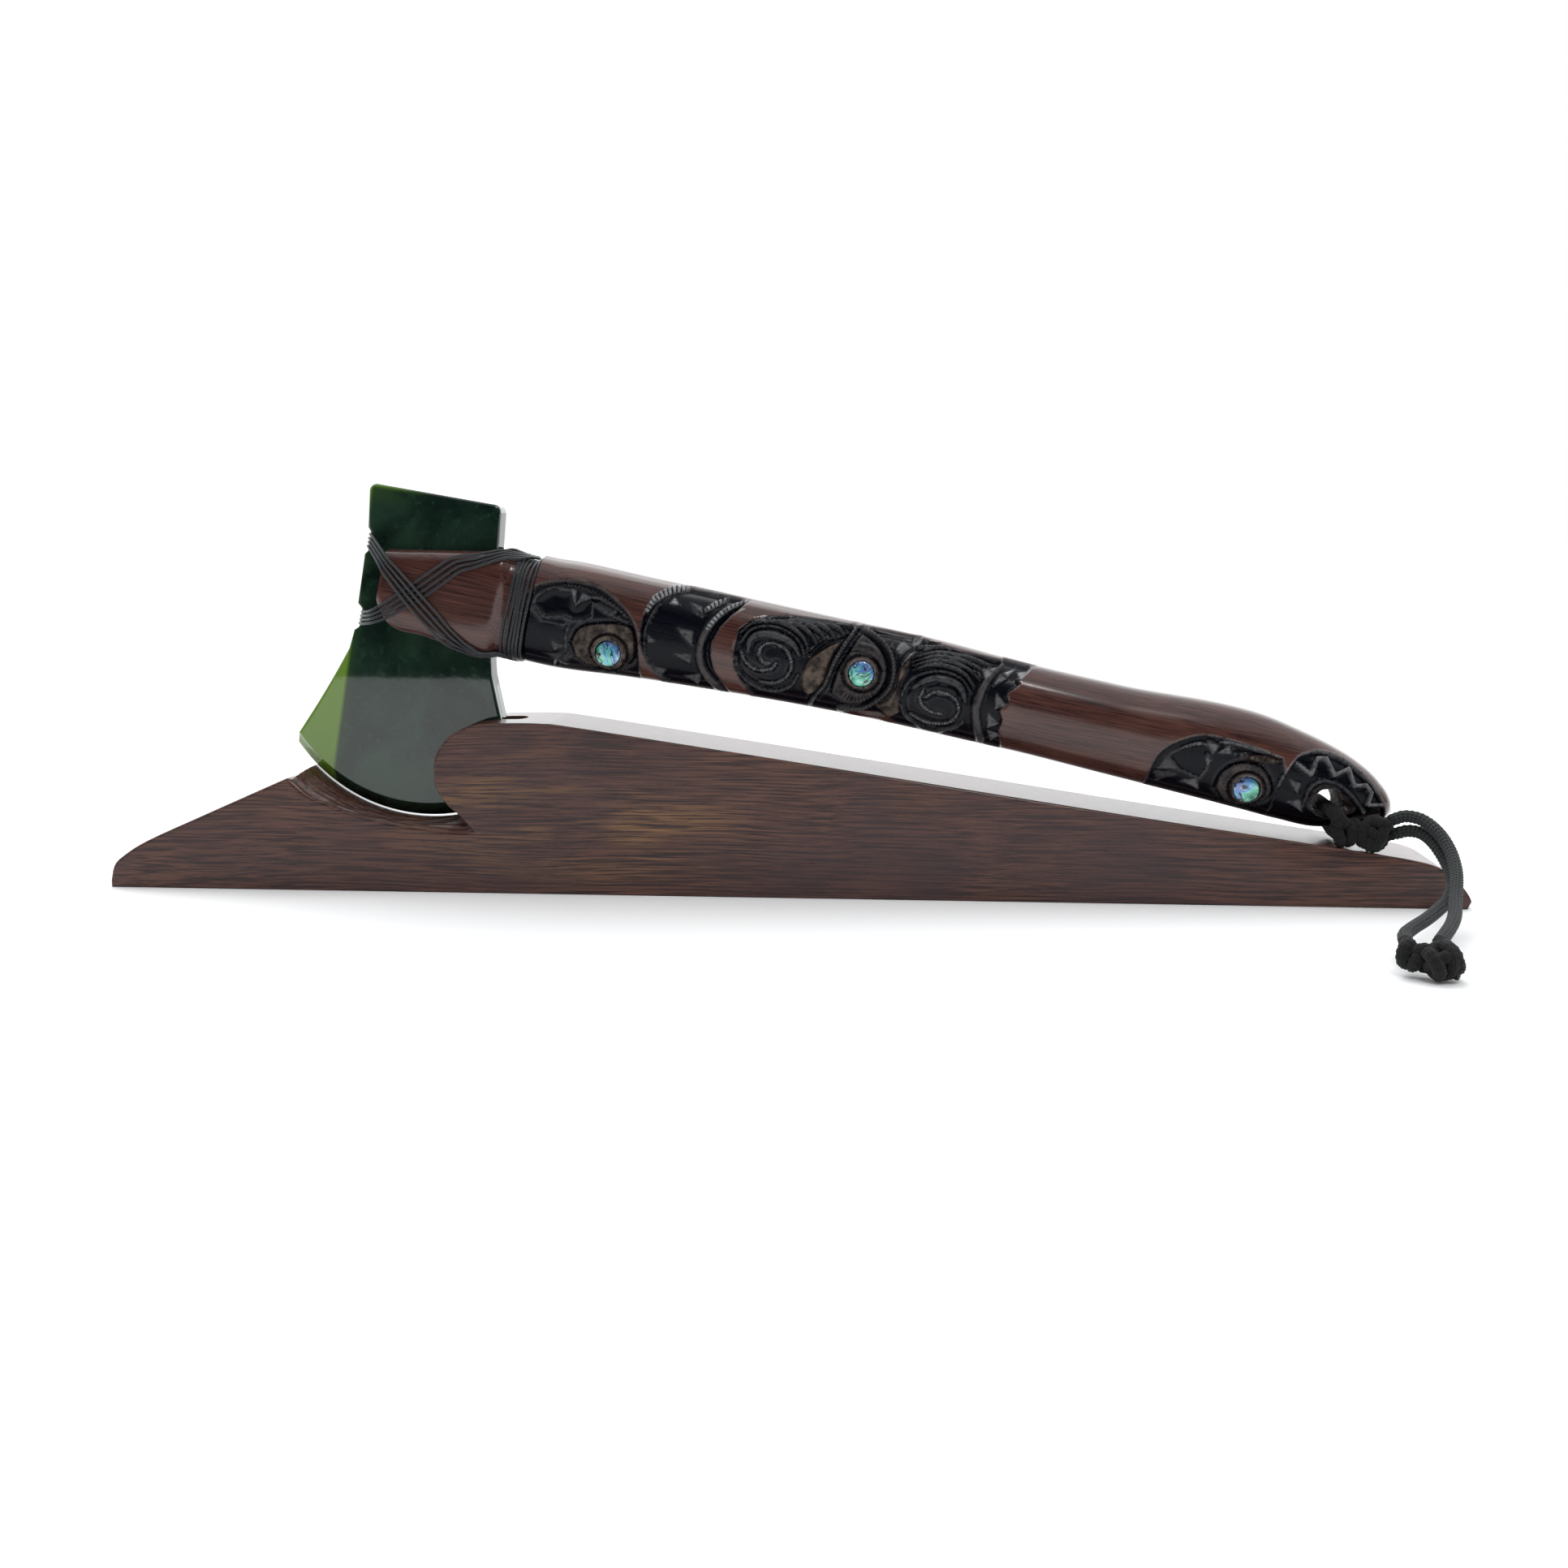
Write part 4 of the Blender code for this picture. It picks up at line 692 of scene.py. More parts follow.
def carve_neck_brow(relief):
    """The brow beside the binding: a nicked arch, a hollow lens with a notch, and a stepped field below."""
    arch = smooth([(49.0, 5.5), (51.9, 10.6), (55.6, 13.3), (60, 15.1), (64.6, 16.3), (69.4, 16.6),
                   (74.2, 16.2), (78.4, 14.6), (81.6, 12.7), (85.2, 10.1), (88.3, 6.9), (90.8, 1.6)], 1.6)
    relief.level(arch + [(92.5, -6.0), (94.0, -13.0), (96.0, -22.0), (48.0, -22.0)], -1.15)
    relief.bar(arch, 1.0, 0.0, 1.2)
    relief.brush(arch, 0.8, 0.25, 0.7)
    inner_arch = smooth([(51.8, 7.6), (54.6, 11.3), (59.4, 13.9), (65.2, 15.1), (70.6, 15.0), (76.4, 13.4),
                         (81.8, 11.0), (86.4, 6.8), (88.8, 2.6)], 1.4)
    relief.nicks(inner_arch, 2.4, 1.25, 0.5)
    plate = [(47.0, 3.0), (53.4, 3.2), (57.0, 0.5), (65.0, 0.4), (66.3, 2.4), (66.1, -1.9), (67.4, -9.0),
             (62.0, -22.0), (47.0, -22.0)]
    relief.level(plate, -1.75, 0.5)
    relief.bar([(50.0, 6.4), (53.6, 4.2), (57.0, 0.5), (65.0, 0.4), (66.3, 2.6)], 0.8, -0.95, 0.9, shine=0.12)
    lens_top = [(53.3, 6.0), (54.2, 8.4), (55.6, 10.2), (58.8, 12.6), (65.4, 12.6), (67.7, 8.2), (69.3, 10.2),
                (72.4, 12.0), (74.6, 12.2), (78.2, 11.3), (82.5, 10.0), (84.8, 8.4)]
    ledge = [(81.3, 7.5), (77.4, 8.3), (73.6, 10.0), (73.8, 5.6), (71.5, 3.6), (67.6, 2.4), (64.4, 3.4),
             (57.6, 1.6), (54.6, 4.4)]
    relief.bowl(lens_top + ledge, -1.5, -2.7, 0.5, 3.5)
    relief.bar(lens_top, 0.8, -0.75, 0.8, shine=0.22)
    relief.facet([(64.9, 13.4), (67.7, 8.2), (66.9, 13.4)], [-0.5, -1.9, -1.5], shine=0.45)
    relief.facet([(67.7, 8.2), (69.0, 13.2), (72.2, 12.2)], [-0.7, -1.9, -0.5], shine=0.3)
    relief.facet([(73.6, 10.2), (75.0, 12.2), (82.5, 10.0), (81.3, 7.5), (77.4, 8.3)], [-1.0, -2.1, -1.6])
    relief.bar([(73.0, 10.4), (77.4, 8.4), (81.3, 7.4), (86.0, 6.0)], 0.9, -0.6, 0.9, shine=0.12)
    relief.bar([(73.2, 9.6), (73.9, 5.4), (71.4, 3.4)], 0.8, -0.8, 0.9)
    relief.facet([(61.3, -5.9), (66.4, -6.8), (63.1, -9.4)], [-2.3, -2.1, -0.5], shine=0.22)
    relief.facet([(58.5, -11.5), (69.0, -8.8), (68.0, -13.5)], [-1.9, -2.1, -0.6], shine=0.1)
    relief.bar([(64.4, 3.3), (67.0, 2.2), (66.2, -1.9), (67.2, -8.0), (63.5, -14.0)], 0.9, -0.7, 1.0)
    almond = smooth([(68.4, -4.6), (70.0, 0.5), (74.8, 3.5), (83.0, 5.4), (87.9, 4.5), (90.2, -1.6),
                     (89.4, -7.6), (83.2, -11.6), (75.8, -11.5), (70.7, -9.3)], 1.5)
    carve_eye(relief, EYES[0], almond, (5.8, 7.0))


def carve_toothed_band(relief):
    """A black crescent with a rope on its left, leaf-shaped teeth on its right and a smooth double rim."""
    left = [(105.1, 22.9), (98.8, 21.6), (95.0, 19.4), (92.8, 16.6), (91.2, 13.2), (90.6, 8.1), (91.0, 2.2),
            (92.6, -1.9), (94.6, -5.4), (98.4, -9.1), (102.6, -12.0), (107.6, -16.0)]
    right = [(128.0, -16.0), (124.0, -9.6), (120.5, -6.0), (117.5, -2.5), (115.6, 2.2), (115.2, 6.3),
             (116.8, 11.6), (119.8, 17.2), (124.2, 22.4)]
    relief.level(left + right, FIELD)
    rope = smooth([(104.7, 23.0), (100.1, 21.6), (96.7, 19.8), (94.4, 17.6), (92.7, 15.0), (91.7, 12.0)], 1.0)
    relief.bar(rope, (0.8, 2.3, 2.4, 1.6), 0.0, 1.8, 1.45, 0.95, shine=1.0)
    relief.bar(smooth([(94.6, 14.6), (93.0, 9.8), (92.4, 5.2), (92.8, 0.6), (94.6, -4.2), (98.0, -8.2),
                       (103.0, -11.6)], 1.2), 0.9, -0.5, 1.2)
    first = smooth([(116.4, 21.8), (113.4, 19.6), (110.8, 16.9)], 1.0)
    relief.bar(first, (0.9, 2.4, 1.6), 0.0, 1.8, 1.45, 0.95, shine=1.0)
    second = smooth([(123.5, 22.2), (120.6, 20.9), (117.4, 18.4), (114.8, 14.9), (112.8, 10.6), (111.5, 5.4),
                     (112.0, 0.4), (114.2, -4.2), (118.3, -8.2), (123.0, -11.4)], 1.2)
    relief.bar(second, (1.0, 2.5, 2.7, 2.9, 3.1, 3.1, 3.0), 0.0, 1.9)
    relief.bar(second[:len(second) * 2 // 5], (0.9, 2.3, 1.6), 0.0, 1.9, 1.45, 0.95, shine=0.8)
    relief.brush(second[len(second) * 9 // 20:], 1.9, 0.72, 0.75)
    relief.cut(smooth([(122.5, 19.8), (118.6, 16.2), (115.6, 11.4), (114.1, 6.2), (114.4, 1.8), (116.2, -2.8),
                       (120.0, -7.0)], 1.2), 1.3, 0.5)
    for corners, heights, shine in (
        ([(99.4, 19.4), (101.8, 16.2), (98.0, 16.0)], [-2.2, -0.5, -0.4], 0.8),
        ([(104.4, 18.9), (110.6, 14.0), (109.0, 17.8)], [-2.0, -0.3, -1.7], 0.35),
        ([(104.4, 18.9), (110.6, 14.0), (106.4, 14.6)], [-2.0, -0.3, -2.2], 0.1),
        ([(102.0, 8.3), (108.0, 8.6), (109.2, 3.0)], [-2.2, -2.0, -0.3], 0.3),
        ([(103.0, -0.7), (109.2, 0.8), (109.7, -3.2)], [-2.2, -2.0, -0.3], 0.25),
        ([(96.6, -6.9), (101.8, -7.4), (100.2, -10.6)], [-2.2, -1.9, -0.5], 0.2),
        ([(107.0, -8.8), (113.6, -5.9), (113.2, -10.2)], [-2.2, -1.8, -0.5], 0.25),
        ([(92.6, 4.6), (96.9, 2.4), (94.0, 0.6)], [-2.1, -1.9, -0.4], 0.2),
    ):
        relief.facet(corners, heights, shine)


def carve_spiral(relief, centre, roll, arms, rings):
    """A smooth round boss with a broad roll over it and thin nicked arms that curl in, inside fine rings."""
    away = np.hypot(relief.along - centre[0], relief.up - centre[1])
    dome = -0.95 - 0.5 * (away / 9.0) ** 2
    share = np.clip((9.2 - away) / 0.8, 0, 1)
    relief.height = relief.height * (1 - share) + dome * share
    relief.bar(smooth(roll, 1.0), (1.4, 2.8, 3.4, 2.8, 1.2), 0.0, 1.5, shine=0.08)
    for arm in arms:
        path = smooth(arm, 0.9)
        relief.cut(path, 2.4, 0.45)
        relief.bar(path, 1.0, -0.55, 0.9, 1.05, 0.55, shine=0.55)
    for ring in rings:
        relief.bar(smooth(ring, 1.2), 1.1, -0.65, 1.0, shine=0.03)


def carve_crest(relief, first, last, count, width):
    """Curved ribs side by side that leave a spiral and end along a hollow."""
    for k in range(count):
        share = k / (count - 1)
        path = [tuple(np.array(a) * (1 - share) + np.array(b) * share) for a, b in zip(first, last)]
        relief.bar(smooth(path, 1.0), (0.8, width, width, 0.9), -0.1 - 0.2 * share, 1.7, shine=0.13)


def carve_spirals(relief):
    """The two spirals, the leaf between them and the second eye in its arcs."""
    outer = [(122.6, 5.7), (122.9, 12.6), (126.0, 16.3), (130.6, 18.8), (137.0, 20.6), (150.7, 21.9),
             (161.0, 22.4), (171.7, 22.9), (183.0, 23.0), (196.0, 21.8), (211.0, 21.6), (207.0, 14.2),
             (204.6, 7.5), (204.4, -1.0), (207.0, -7.0), (210.0, -16.0), (140.0, -16.0), (133.0, -10.5),
             (127.2, -5.0), (123.8, -0.2)]
    relief.level(outer, FIELD)
    arms = ([(125.0, 5.6), (126.6, 3.2), (129.2, 1.2), (132.1, 0.5), (134.7, 1.2), (136.7, 2.4),
             (137.4, 4.4)], [(135.4, 3.6), (133.4, 3.6), (131.6, 5.2), (131.2, 7.6), (132.6, 9.8),
                             (135.6, 10.6), (139.4, 9.6), (142.0, 6.6), (142.6, 2.6), (141.0, -1.0),
                             (137.6, -3.2), (133.4, -3.6)])
    rings = ([(124.6, 8.8), (126.6, 13.2), (130.6, 15.8), (135.6, 16.4), (140.4, 15.2), (144.0, 12.4),
              (145.8, 9.2)], [(123.9, 3.4), (125.2, -1.0), (128.8, -4.4), (133.8, -6.2), (139.6, -5.8),
                              (143.8, -2.8), (145.4, 1.4)])
    roll = [(127.3, 6.4), (127.7, 10.6), (131.5, 13.0), (137.2, 13.2), (141.8, 11.6), (144.6, 8.2)]
    carve_spiral(relief, (133.9, 4.9), roll, arms, rings)
    low = [(128.6, 16.6), (134.6, 18.2), (140.6, 17.2), (144.6, 14.6), (146.6, 11.6)]
    high = [(142.0, 20.9), (148.0, 21.3), (152.6, 21.3), (155.6, 20.6), (157.6, 19.2)]
    carve_crest(relief, low, high, 5, 1.9)
    relief.bar(smooth([(123.6, 11.6), (126.6, 15.6), (131.4, 18.4), (138.0, 20.4), (148.0, 21.6),
                       (160.6, 22.2)], 1.4), 1.1, 0.0, 1.6)

    relief.bowl([(146.4, 9.4), (150.4, 15.4), (156.6, 18.8), (160.6, 21.4), (157.4, 16.4), (153.2, 13.6),
                 (148.6, 8.6)], -2.1, -3.0, 0.4, 1.0)
    leaf = smooth([(157.6, 17.6), (153.0, 13.5), (148.7, 8.5), (147.2, 4.7), (146.9, 0.7), (148.1, -3.4),
                   (150.0, -4.8)], 1.4)
    leaf_right = smooth([(152.1, -3.1), (154.0, 0.8), (154.7, 4.6), (154.9, 10.4), (157.6, 17.6)], 1.4)
    relief.level(leaf + leaf_right, -0.45, 0.7, 0.0, 1.0)
    relief.bowl(leaf + leaf_right, -0.45, -0.75, 0.8, 3.5)
    spine = smooth([(160.6, 22.0), (159.7, 19.4), (157.6, 13.4), (156.2, 8.4), (155.5, 4.0), (154.6, -0.2),
                    (152.8, -3.8), (151.0, -9.0)], 1.4)
    relief.cut(spine, 3.4, 0.5)
    relief.bar(spine, 1.4, -0.1, 1.7, 1.1, 0.5, shine=0.3)

    disc = smooth([(157.2, -2.0), (157.8, 6.0), (160.4, 14.0), (163.0, 20.4), (168.4, 18.6), (172.0, 15.0),
                   (174.0, 10.6), (174.2, 5.8), (172.2, 0.6), (168.2, -3.2), (162.4, -4.6)], 1.5)
    carve_eye(relief, EYES[1], disc, (5.6, 7.0), 0.72)
    relief.cut(smooth([(158.9, 12.5), (162.1, 14.2), (165.9, 14.4), (168.9, 13.2), (172.5, 9.8)], 1.2), 1.0,
               0.7)
    relief.nicks(smooth([(161.2, -1.0), (164.5, -2.1), (167.7, -1.6), (170.9, 0.8)], 1.2), 2.6, 1.2, 0.6)
    rim = smooth([(163.0, 22.4), (167.0, 21.4), (171.2, 19.2), (174.4, 15.6), (176.2, 10.8), (176.4, 5.8),
                  (174.8, 1.6), (172.0, -2.2), (168.0, -5.4), (161.0, -7.4)], 1.4)
    relief.bar(rim, 1.6, -0.05, 1.7, 1.3, 0.4, shine=0.14)
    relief.brush(rim, 1.2, 0.8, 0.8)
    patch = [(172.6, -3.0), (176.2, -0.4), (178.0, 5.0), (178.0, 11.6), (180.4, 15.6), (180.8, 12.2),
             (179.2, 7.4), (179.2, 2.4), (181.4, -3.6), (178.0, -6.4)]
    relief.level(patch, -0.5, 0.6, 0.15, 1.0)
    relief.level([(153.0, -9.5), (160.0, -8.6), (168.0, -7.0), (174.6, -6.0), (180.4, -7.6), (184.0, -18.0),
                  (153.0, -18.0)], -0.25, 0.6, 0.0, 0.2)
    for corners, heights, shine in (
        ([(174.9, 17.0), (176.8, 22.4), (180.3, 20.2), (177.4, 16.0)], [-0.4, -2.2, -1.6], 0.3),
        ([(172.9, 22.4), (175.1, 17.5), (172.6, 18.6)], [-2.3, -0.6, -2.3], 0.0),
        ([(177.8, 12.0), (182.9, 19.9), (179.6, 17.6)], [-0.2, -0.6, -2.2], 0.7),
        ([(179.9, 22.9), (183.6, 23.3), (181.2, 19.8)], [-2.2, -1.8, -0.2], 0.6),
        ([(184.4, 22.6), (190.0, 22.4), (184.2, 19.4)], [-2.0, -2.2, -0.5], 0.3),
    ):
        relief.facet(corners, heights, shine)

    arms = ([(187.2, 6.4), (186.6, 3.4), (188.4, 0.8), (191.4, -0.6), (194.6, -0.6)],
            [(188.4, 4.1), (190.8, 6.6), (194.2, 7.0), (197.6, 6.2), (199.8, 3.6), (200.0, 0.2),
             (198.0, -3.0), (194.2, -4.6), (189.5, -4.8), (184.8, -3.1)])
    rings = ([(180.6, 3.0), (181.6, 7.4), (184.6, 11.0), (189.0, 13.4), (194.0, 14.2), (199.0, 12.8),
              (202.4, 9.4)], [(180.8, -0.6), (183.4, -4.4), (188.0, -6.8), (194.0, -7.4), (199.4, -5.6),
                              (202.4, -2.0)])
    roll = [(183.7, 6.4), (187.1, 9.6), (191.0, 11.4), (195.8, 11.4), (199.2, 9.8), (201.8, 5.4)]
    carve_spiral(relief, (191.3, 2.2), roll, arms, rings)
    low = [(182.4, 12.4), (187.4, 15.4), (193.4, 16.4), (199.4, 15.0), (203.2, 11.4)]
    high = [(181.4, 16.6), (188.4, 20.0), (196.0, 20.8), (202.4, 20.6), (207.4, 19.6)]
    carve_crest(relief, low, high, 4, 1.8)
    relief.bar(smooth([(182.6, 20.4), (189.0, 21.8), (197.0, 22.0), (210.0, 21.8)], 1.4), 1.1, -0.1, 1.6)


def carve_grip_band(relief):
    """The toothed band that ends the carving at the grip, with a jagged edge against the plain wood."""
    left = [(211.0, 22.6), (206.2, 16.5), (203.6, 10.2), (202.6, 3.9), (203.3, -1.5), (206.0, -7.2),
            (209.0, -15.0)]
    right = [(219.0, -15.0), (216.6, -6.2), (214.6, -1.5), (214.9, 2.6), (213.4, 5.4), (215.6, 9.0),
             (214.4, 11.4), (217.8, 15.4), (216.8, 17.2), (221.6, 22.4)]
    relief.level(left + right, -1.8, 0.5)
    ridge = smooth([(210.8, 20.8), (207.4, 15.4), (205.9, 9.8), (205.6, 3.9), (207.4, -1.9), (210.0, -8.0)],
                   1.2)
    relief.bar(ridge, (1.4, 3.0, 3.6, 3.6, 3.2), -0.05, 1.9)
    relief.brush(ridge, 2.2, 0.78, 0.7)
    for corners, heights, shine in (
        ([(204.4, 18.6), (210.5, 21.0), (206.2, 14.2)], [-2.2, -1.6, -0.2], 0.5),
        ([(208.8, 12.6), (210.8, 18.6), (213.4, 16.8)], [-0.2, -2.2, -1.2], 0.45),
        ([(211.4, 18.4), (215.8, 21.8), (213.4, 17.2)], [-1.4, -2.2, -0.2], 0.7),
        ([(216.2, 20.4), (220.6, 21.8), (217.6, 16.4)], [-2.2, -1.8, -0.2], 0.6),
        ([(210.6, 11.6), (215.2, 7.6), (211.4, 5.0)], [-2.2, -1.2, -0.2], 0.35),
        ([(209.6, 3.9), (214.6, 0.6), (210.6, -2.2)], [-2.2, -1.2, -0.2], 0.35),
        ([(210.6, -2.8), (216.2, -3.4), (212.8, -6.8)], [-2.2, -1.6, -0.2], 0.3),
    ):
        relief.facet(corners, heights, shine)


def carve_butt_brow(relief):
    """The brow and eye of the butt: a nicked arch, a flat black plate, chips round it, and the third eye."""
    arch = smooth([(266.0, -8.0), (266.1, -2.2), (267.3, 3.2), (270.0, 6.8), (274.2, 10.1), (279.4, 12.6),
                   (285.8, 13.3), (292.4, 13.0), (299.1, 12.4), (307.0, 11.0)], 1.5)
    relief.level(arch + [(308.6, 7.0), (310.5, 2.0), (310.5, -16.0), (265.0, -16.0)], -1.3)
    relief.bar(arch, 1.2, -0.05, 1.4, 1.2, 0.4, shine=0.12)
    relief.level([(270.9, 3.3), (275.1, 6.9), (279.6, 8.9), (282.4, 9.4), (284.4, 7.3), (282.7, 6.9),
                  (284.1, 3.1), (282.5, -2.1), (275.5, -0.4)], -2.1, 0.4)
    relief.bar([(274.6, 7.0), (278.8, 9.4), (282.2, 10.0)], 0.8, -0.6, 1.1, shine=0.5)
    relief.bowl([(290.6, 9.4), (293.4, 9.0), (303.6, 11.3), (295.6, 11.9), (291.1, 12.1)], -1.6, -2.2, 0.4,
                1.0)
    relief.bar([(286.2, 12.0), (289.4, 12.2), (295.6, 12.0), (304.6, 11.5)], 0.8, -0.3, 1.1, shine=0.4)
    for corners, heights, shine in (
        ([(281.5, 11.2), (286.2, 10.4), (284.6, 6.9)], [-2.2, -1.4, -0.4], 0.45),
        ([(267.8, -2.4), (270.6, 3.1), (275.4, -0.7)], [-0.4, -2.0, -1.4], 0.2),
        ([(267.6, -3.0), (275.6, -1.8), (269.4, -7.4)], [-1.9, -2.0, -0.5], 0.1),
        ([(282.4, 6.1), (284.9, 4.9), (283.8, 2.3)], [-2.1, -1.8, -0.3], 0.4),
        ([(276.6, -4.9), (282.0, -2.3), (283.9, -6.6)], [-2.2, -2.0, -0.3], 0.4),
        ([(285.7, 7.9), (289.4, 11.8), (290.6, 8.4)], [-0.6, -2.2, -0.5], 0.35),
    ):
        relief.facet(corners, heights, shine)
    chip = [(292.6, 8.2), (298.0, 8.0), (304.8, 9.0), (307.4, 10.4), (301.0, 10.8)]
    relief.level(chip, -0.3, 0.5, 0.1, 1.0)
    relief.nicks([(293.0, 8.6), (300.0, 9.2), (306.4, 10.2)], 1.8, 1.7, 0.5)
    almond = smooth([(288.1, -4.1), (288.4, 0.4), (291.0, 4.6), (295.5, 7.0), (300.4, 6.9), (304.4, 3.6),
                     (306.4, -1.0), (304.6, -5.3), (299.4, -8.6), (292.8, -8.4)], 1.4)
    carve_eye(relief, EYES[2], almond, (5.3, 6.6), 0.55)


def carve_butt_end(relief):
    """The ring of rays round the lanyard hole: a zigzag ridge between the rim and a raised ring."""
    rim = smooth([(307.9, -8.4), (307.7, -0.4), (308.6, 5.4), (311.2, 12.4), (314.7, 15.0), (317.8, 16.1),
                  (322.0, 16.2), (326.6, 15.4), (331.6, 13.4), (336.6, 10.3), (340.4, 6.9), (343.6, 3.1),
                  (346.0, -2.0)], 1.4)
    relief.level(rim + [(346.0, -10.0), (330.0, -16.0), (308.0, -16.0)], -1.9, 0.5)
    relief.bar(rim[8:], 1.1, 0.0, 1.4, shine=0.35)
    relief.bar(rim[:9], 0.9, -0.5, 1.2)
    zigzag = [(311.8, 10.6), (317.2, 8.0), (318.2, 14.1), (321.2, 14.6), (324.7, 9.6), (329.2, 13.0),
              (332.1, 7.6), (336.0, 8.8), (338.5, 6.6), (338.0, 2.0), (343.2, 3.0)]
    relief.bar(zigzag, 1.8, -0.05, 2.0, shine=0.5)
    ring = smooth([(317.4, -3.6), (317.5, 0.2), (318.2, 3.6), (320.5, 6.2), (323.9, 7.1), (327.6, 6.4),
                   (331.7, 4.2), (335.2, 1.3), (337.4, -1.4)], 1.2)
    relief.bar(ring, 1.5, -0.25, 1.7)
    relief.facet([(310.4, 4.8), (315.0, 4.4), (315.0, -0.6)], [-2.2, -1.6, -0.2], shine=0.3)
    relief.facet([(311.6, -3.6), (316.2, -1.4), (318.6, -6.2)], [-2.2, -1.8, -0.3], shine=0.3)
    mouth = [(318.9, -1.4), (318.9, 1.6), (322.0, 5.2), (324.8, 5.6), (329.4, 4.0), (334.6, 0.4),
             (334.0, -2.6), (330.0, -5.0), (325.0, -6.0), (320.4, -4.2)]
    funnel = np.clip(relief.within(mouth) / 2.6, 0, 1)
    rough = 0.4 * np.sin(relief.along * 2.9 + relief.up * 1.7) * np.sin(relief.up * 3.7 - relief.along * 1.1)
    relief.height = relief.height - funnel * (2.8 + rough)
    relief.colour(np.clip(funnel * 3, 0, 1), 0.35, 0.85)


FINE = 0.48
AROUND = 160
SHELL_RADIUS = 4.2
SHELL_FACE = 0.05
HOLE = (325.6, -0.6, 5.1)
POCKET_DEEP = 1.9
GLUE_GAP = 0.3


def handle_places():
    """Places along the handle, close together where it is carved."""
    places = [0.3, 0.8, 1.6, 2.8, 4.2]
    for first, last, step in ((6.0, 34.0, 2.0), (34.5, 51.5, 0.75), (51.8, 221.0, FINE), (222.5, 264.5, 1.7),
                              (265.0, 346.6, FINE)):
        places += list(np.arange(first, last, step))
    return np.array(places + [347.0, 347.7, 348.2, 348.5])


def handle_angles():
    """Angles round the handle, close together on the two carved faces."""
    turns = np.linspace(0, 2 * math.pi, 4001)
    depth, up, _, _ = skin(150.0, turns)
    steps = np.hypot(np.diff(depth), np.diff(up))
    middle = (turns[1:] + turns[:-1]) / 2
    carved = np.abs(np.sin(middle)) < math.sin(math.radians(66))
    weight = np.concatenate([[0.0], np.cumsum(steps * np.where(carved, 1.0, 0.36))])
    return np.interp(np.arange(AROUND) / AROUND * weight[-1], weight, turns)


def carve(along, up):
    """All the carving of one face."""
    relief = Relief(along, up)
    carve_neck_brow(relief)
    carve_toothed_band(relief)
    carve_spirals(relief)
    carve_grip_band(relief)
    carve_butt_brow(relief)
    carve_butt_end(relief)
    return relief


def handle_mesh():
    """The carved handle before its cuts, with its finish stored on its points."""
    places = handle_places()
    angles = handle_angles()
    rows = [skin(place, angles) for place in places]
    depth, up, out_depth, out_up = (np.array([row[k] for row in rows]) for k in range(4))
    along = np.repeat(places[:, None], AROUND, 1)
    relief = carve(along, up)
    facing = np.clip((np.abs(out_depth) - 0.10) / 0.28, 0, 1)
    height = relief.height * facing
    # Painted highlight: stained crests that stand above their neighbours, and the chosen chips, are later
    # painted light grey.
    blur = sum(np.roll(height, (i, j), (0, 1)) for i in (-2, -1, 0, 1, 2) for j in (-2, -1, 0, 1, 2)) / 25
    painted_highlight = np.clip((height - blur) / 0.22, 0, 1) * np.clip(relief.stain, 0, 1) * 0.16
    painted_highlight = np.maximum(painted_highlight, relief.shine * np.clip(facing * 2, 0, 1))
    depth = depth + out_depth * height
    up = up + out_up * height
    points = np.stack([along, depth, up], 2).reshape(-1, 3) * MM
    count, around = len(places), AROUND
    here = (np.arange(count - 1)[:, None] * around + np.arange(around)).ravel()
    aside = (np.arange(count - 1)[:, None] * around + (np.arange(around) + 1) % around).ravel()
    quads = np.stack([here, here + around, aside + around, aside], 1)
    faces = [tuple(quad) for quad in quads.tolist()]
    faces.append(tuple(range(around)))
    faces.append(tuple(range((count - 1) * around, count * around))[::-1])
    mesh = bpy.data.meshes.new("carved_handle")
    mesh.from_pydata(points.tolist(), [], faces)
    finish = np.stack([relief.stain * np.clip(facing * 3, 0, 1), relief.bare * facing, painted_highlight,
                       np.ones_like(painted_highlight)], 2)
    nicks = np.stack([relief.turns, relief.nicked * facing, painted_highlight * 0, painted_highlight * 0 + 1], 2)
    for name, values in (("finish", finish), ("nicks", nicks)):
        layer = mesh.attributes.new(name, "FLOAT_COLOR", "POINT")
        layer.data.foreach_set("color", values.astype(np.float32).ravel())
    body = bmesh.new()
    body.from_mesh(mesh)
    bmesh.ops.recalc_face_normals(body, faces=body.faces)
    body.to_mesh(mesh)
    body.free()
    return mesh


def round_plug(name, centre, radius, near, far, material, sides=40, roughness=0.0):
    """A round solid across the handle, which cuts a hole or a pocket."""
    rings = []
    for depth in np.linspace(near, far, 13 if roughness else 2):
        ring = []
        for k in range(sides):
            angle = 2 * math.pi * k / sides
            wave = math.sin(3 * angle + depth * 0.9) + math.sin(7 * angle - depth * 1.7)
            reach = radius + roughness * wave
            ring.append(Vector((centre[0] + reach * math.cos(angle), depth,
                                centre[1] + reach * math.sin(angle))) * MM)
        rings.append(ring)
    mesh = lofted(name, rings)
    mesh.materials.append(material)
    return bpy.data.objects.new(name, mesh)


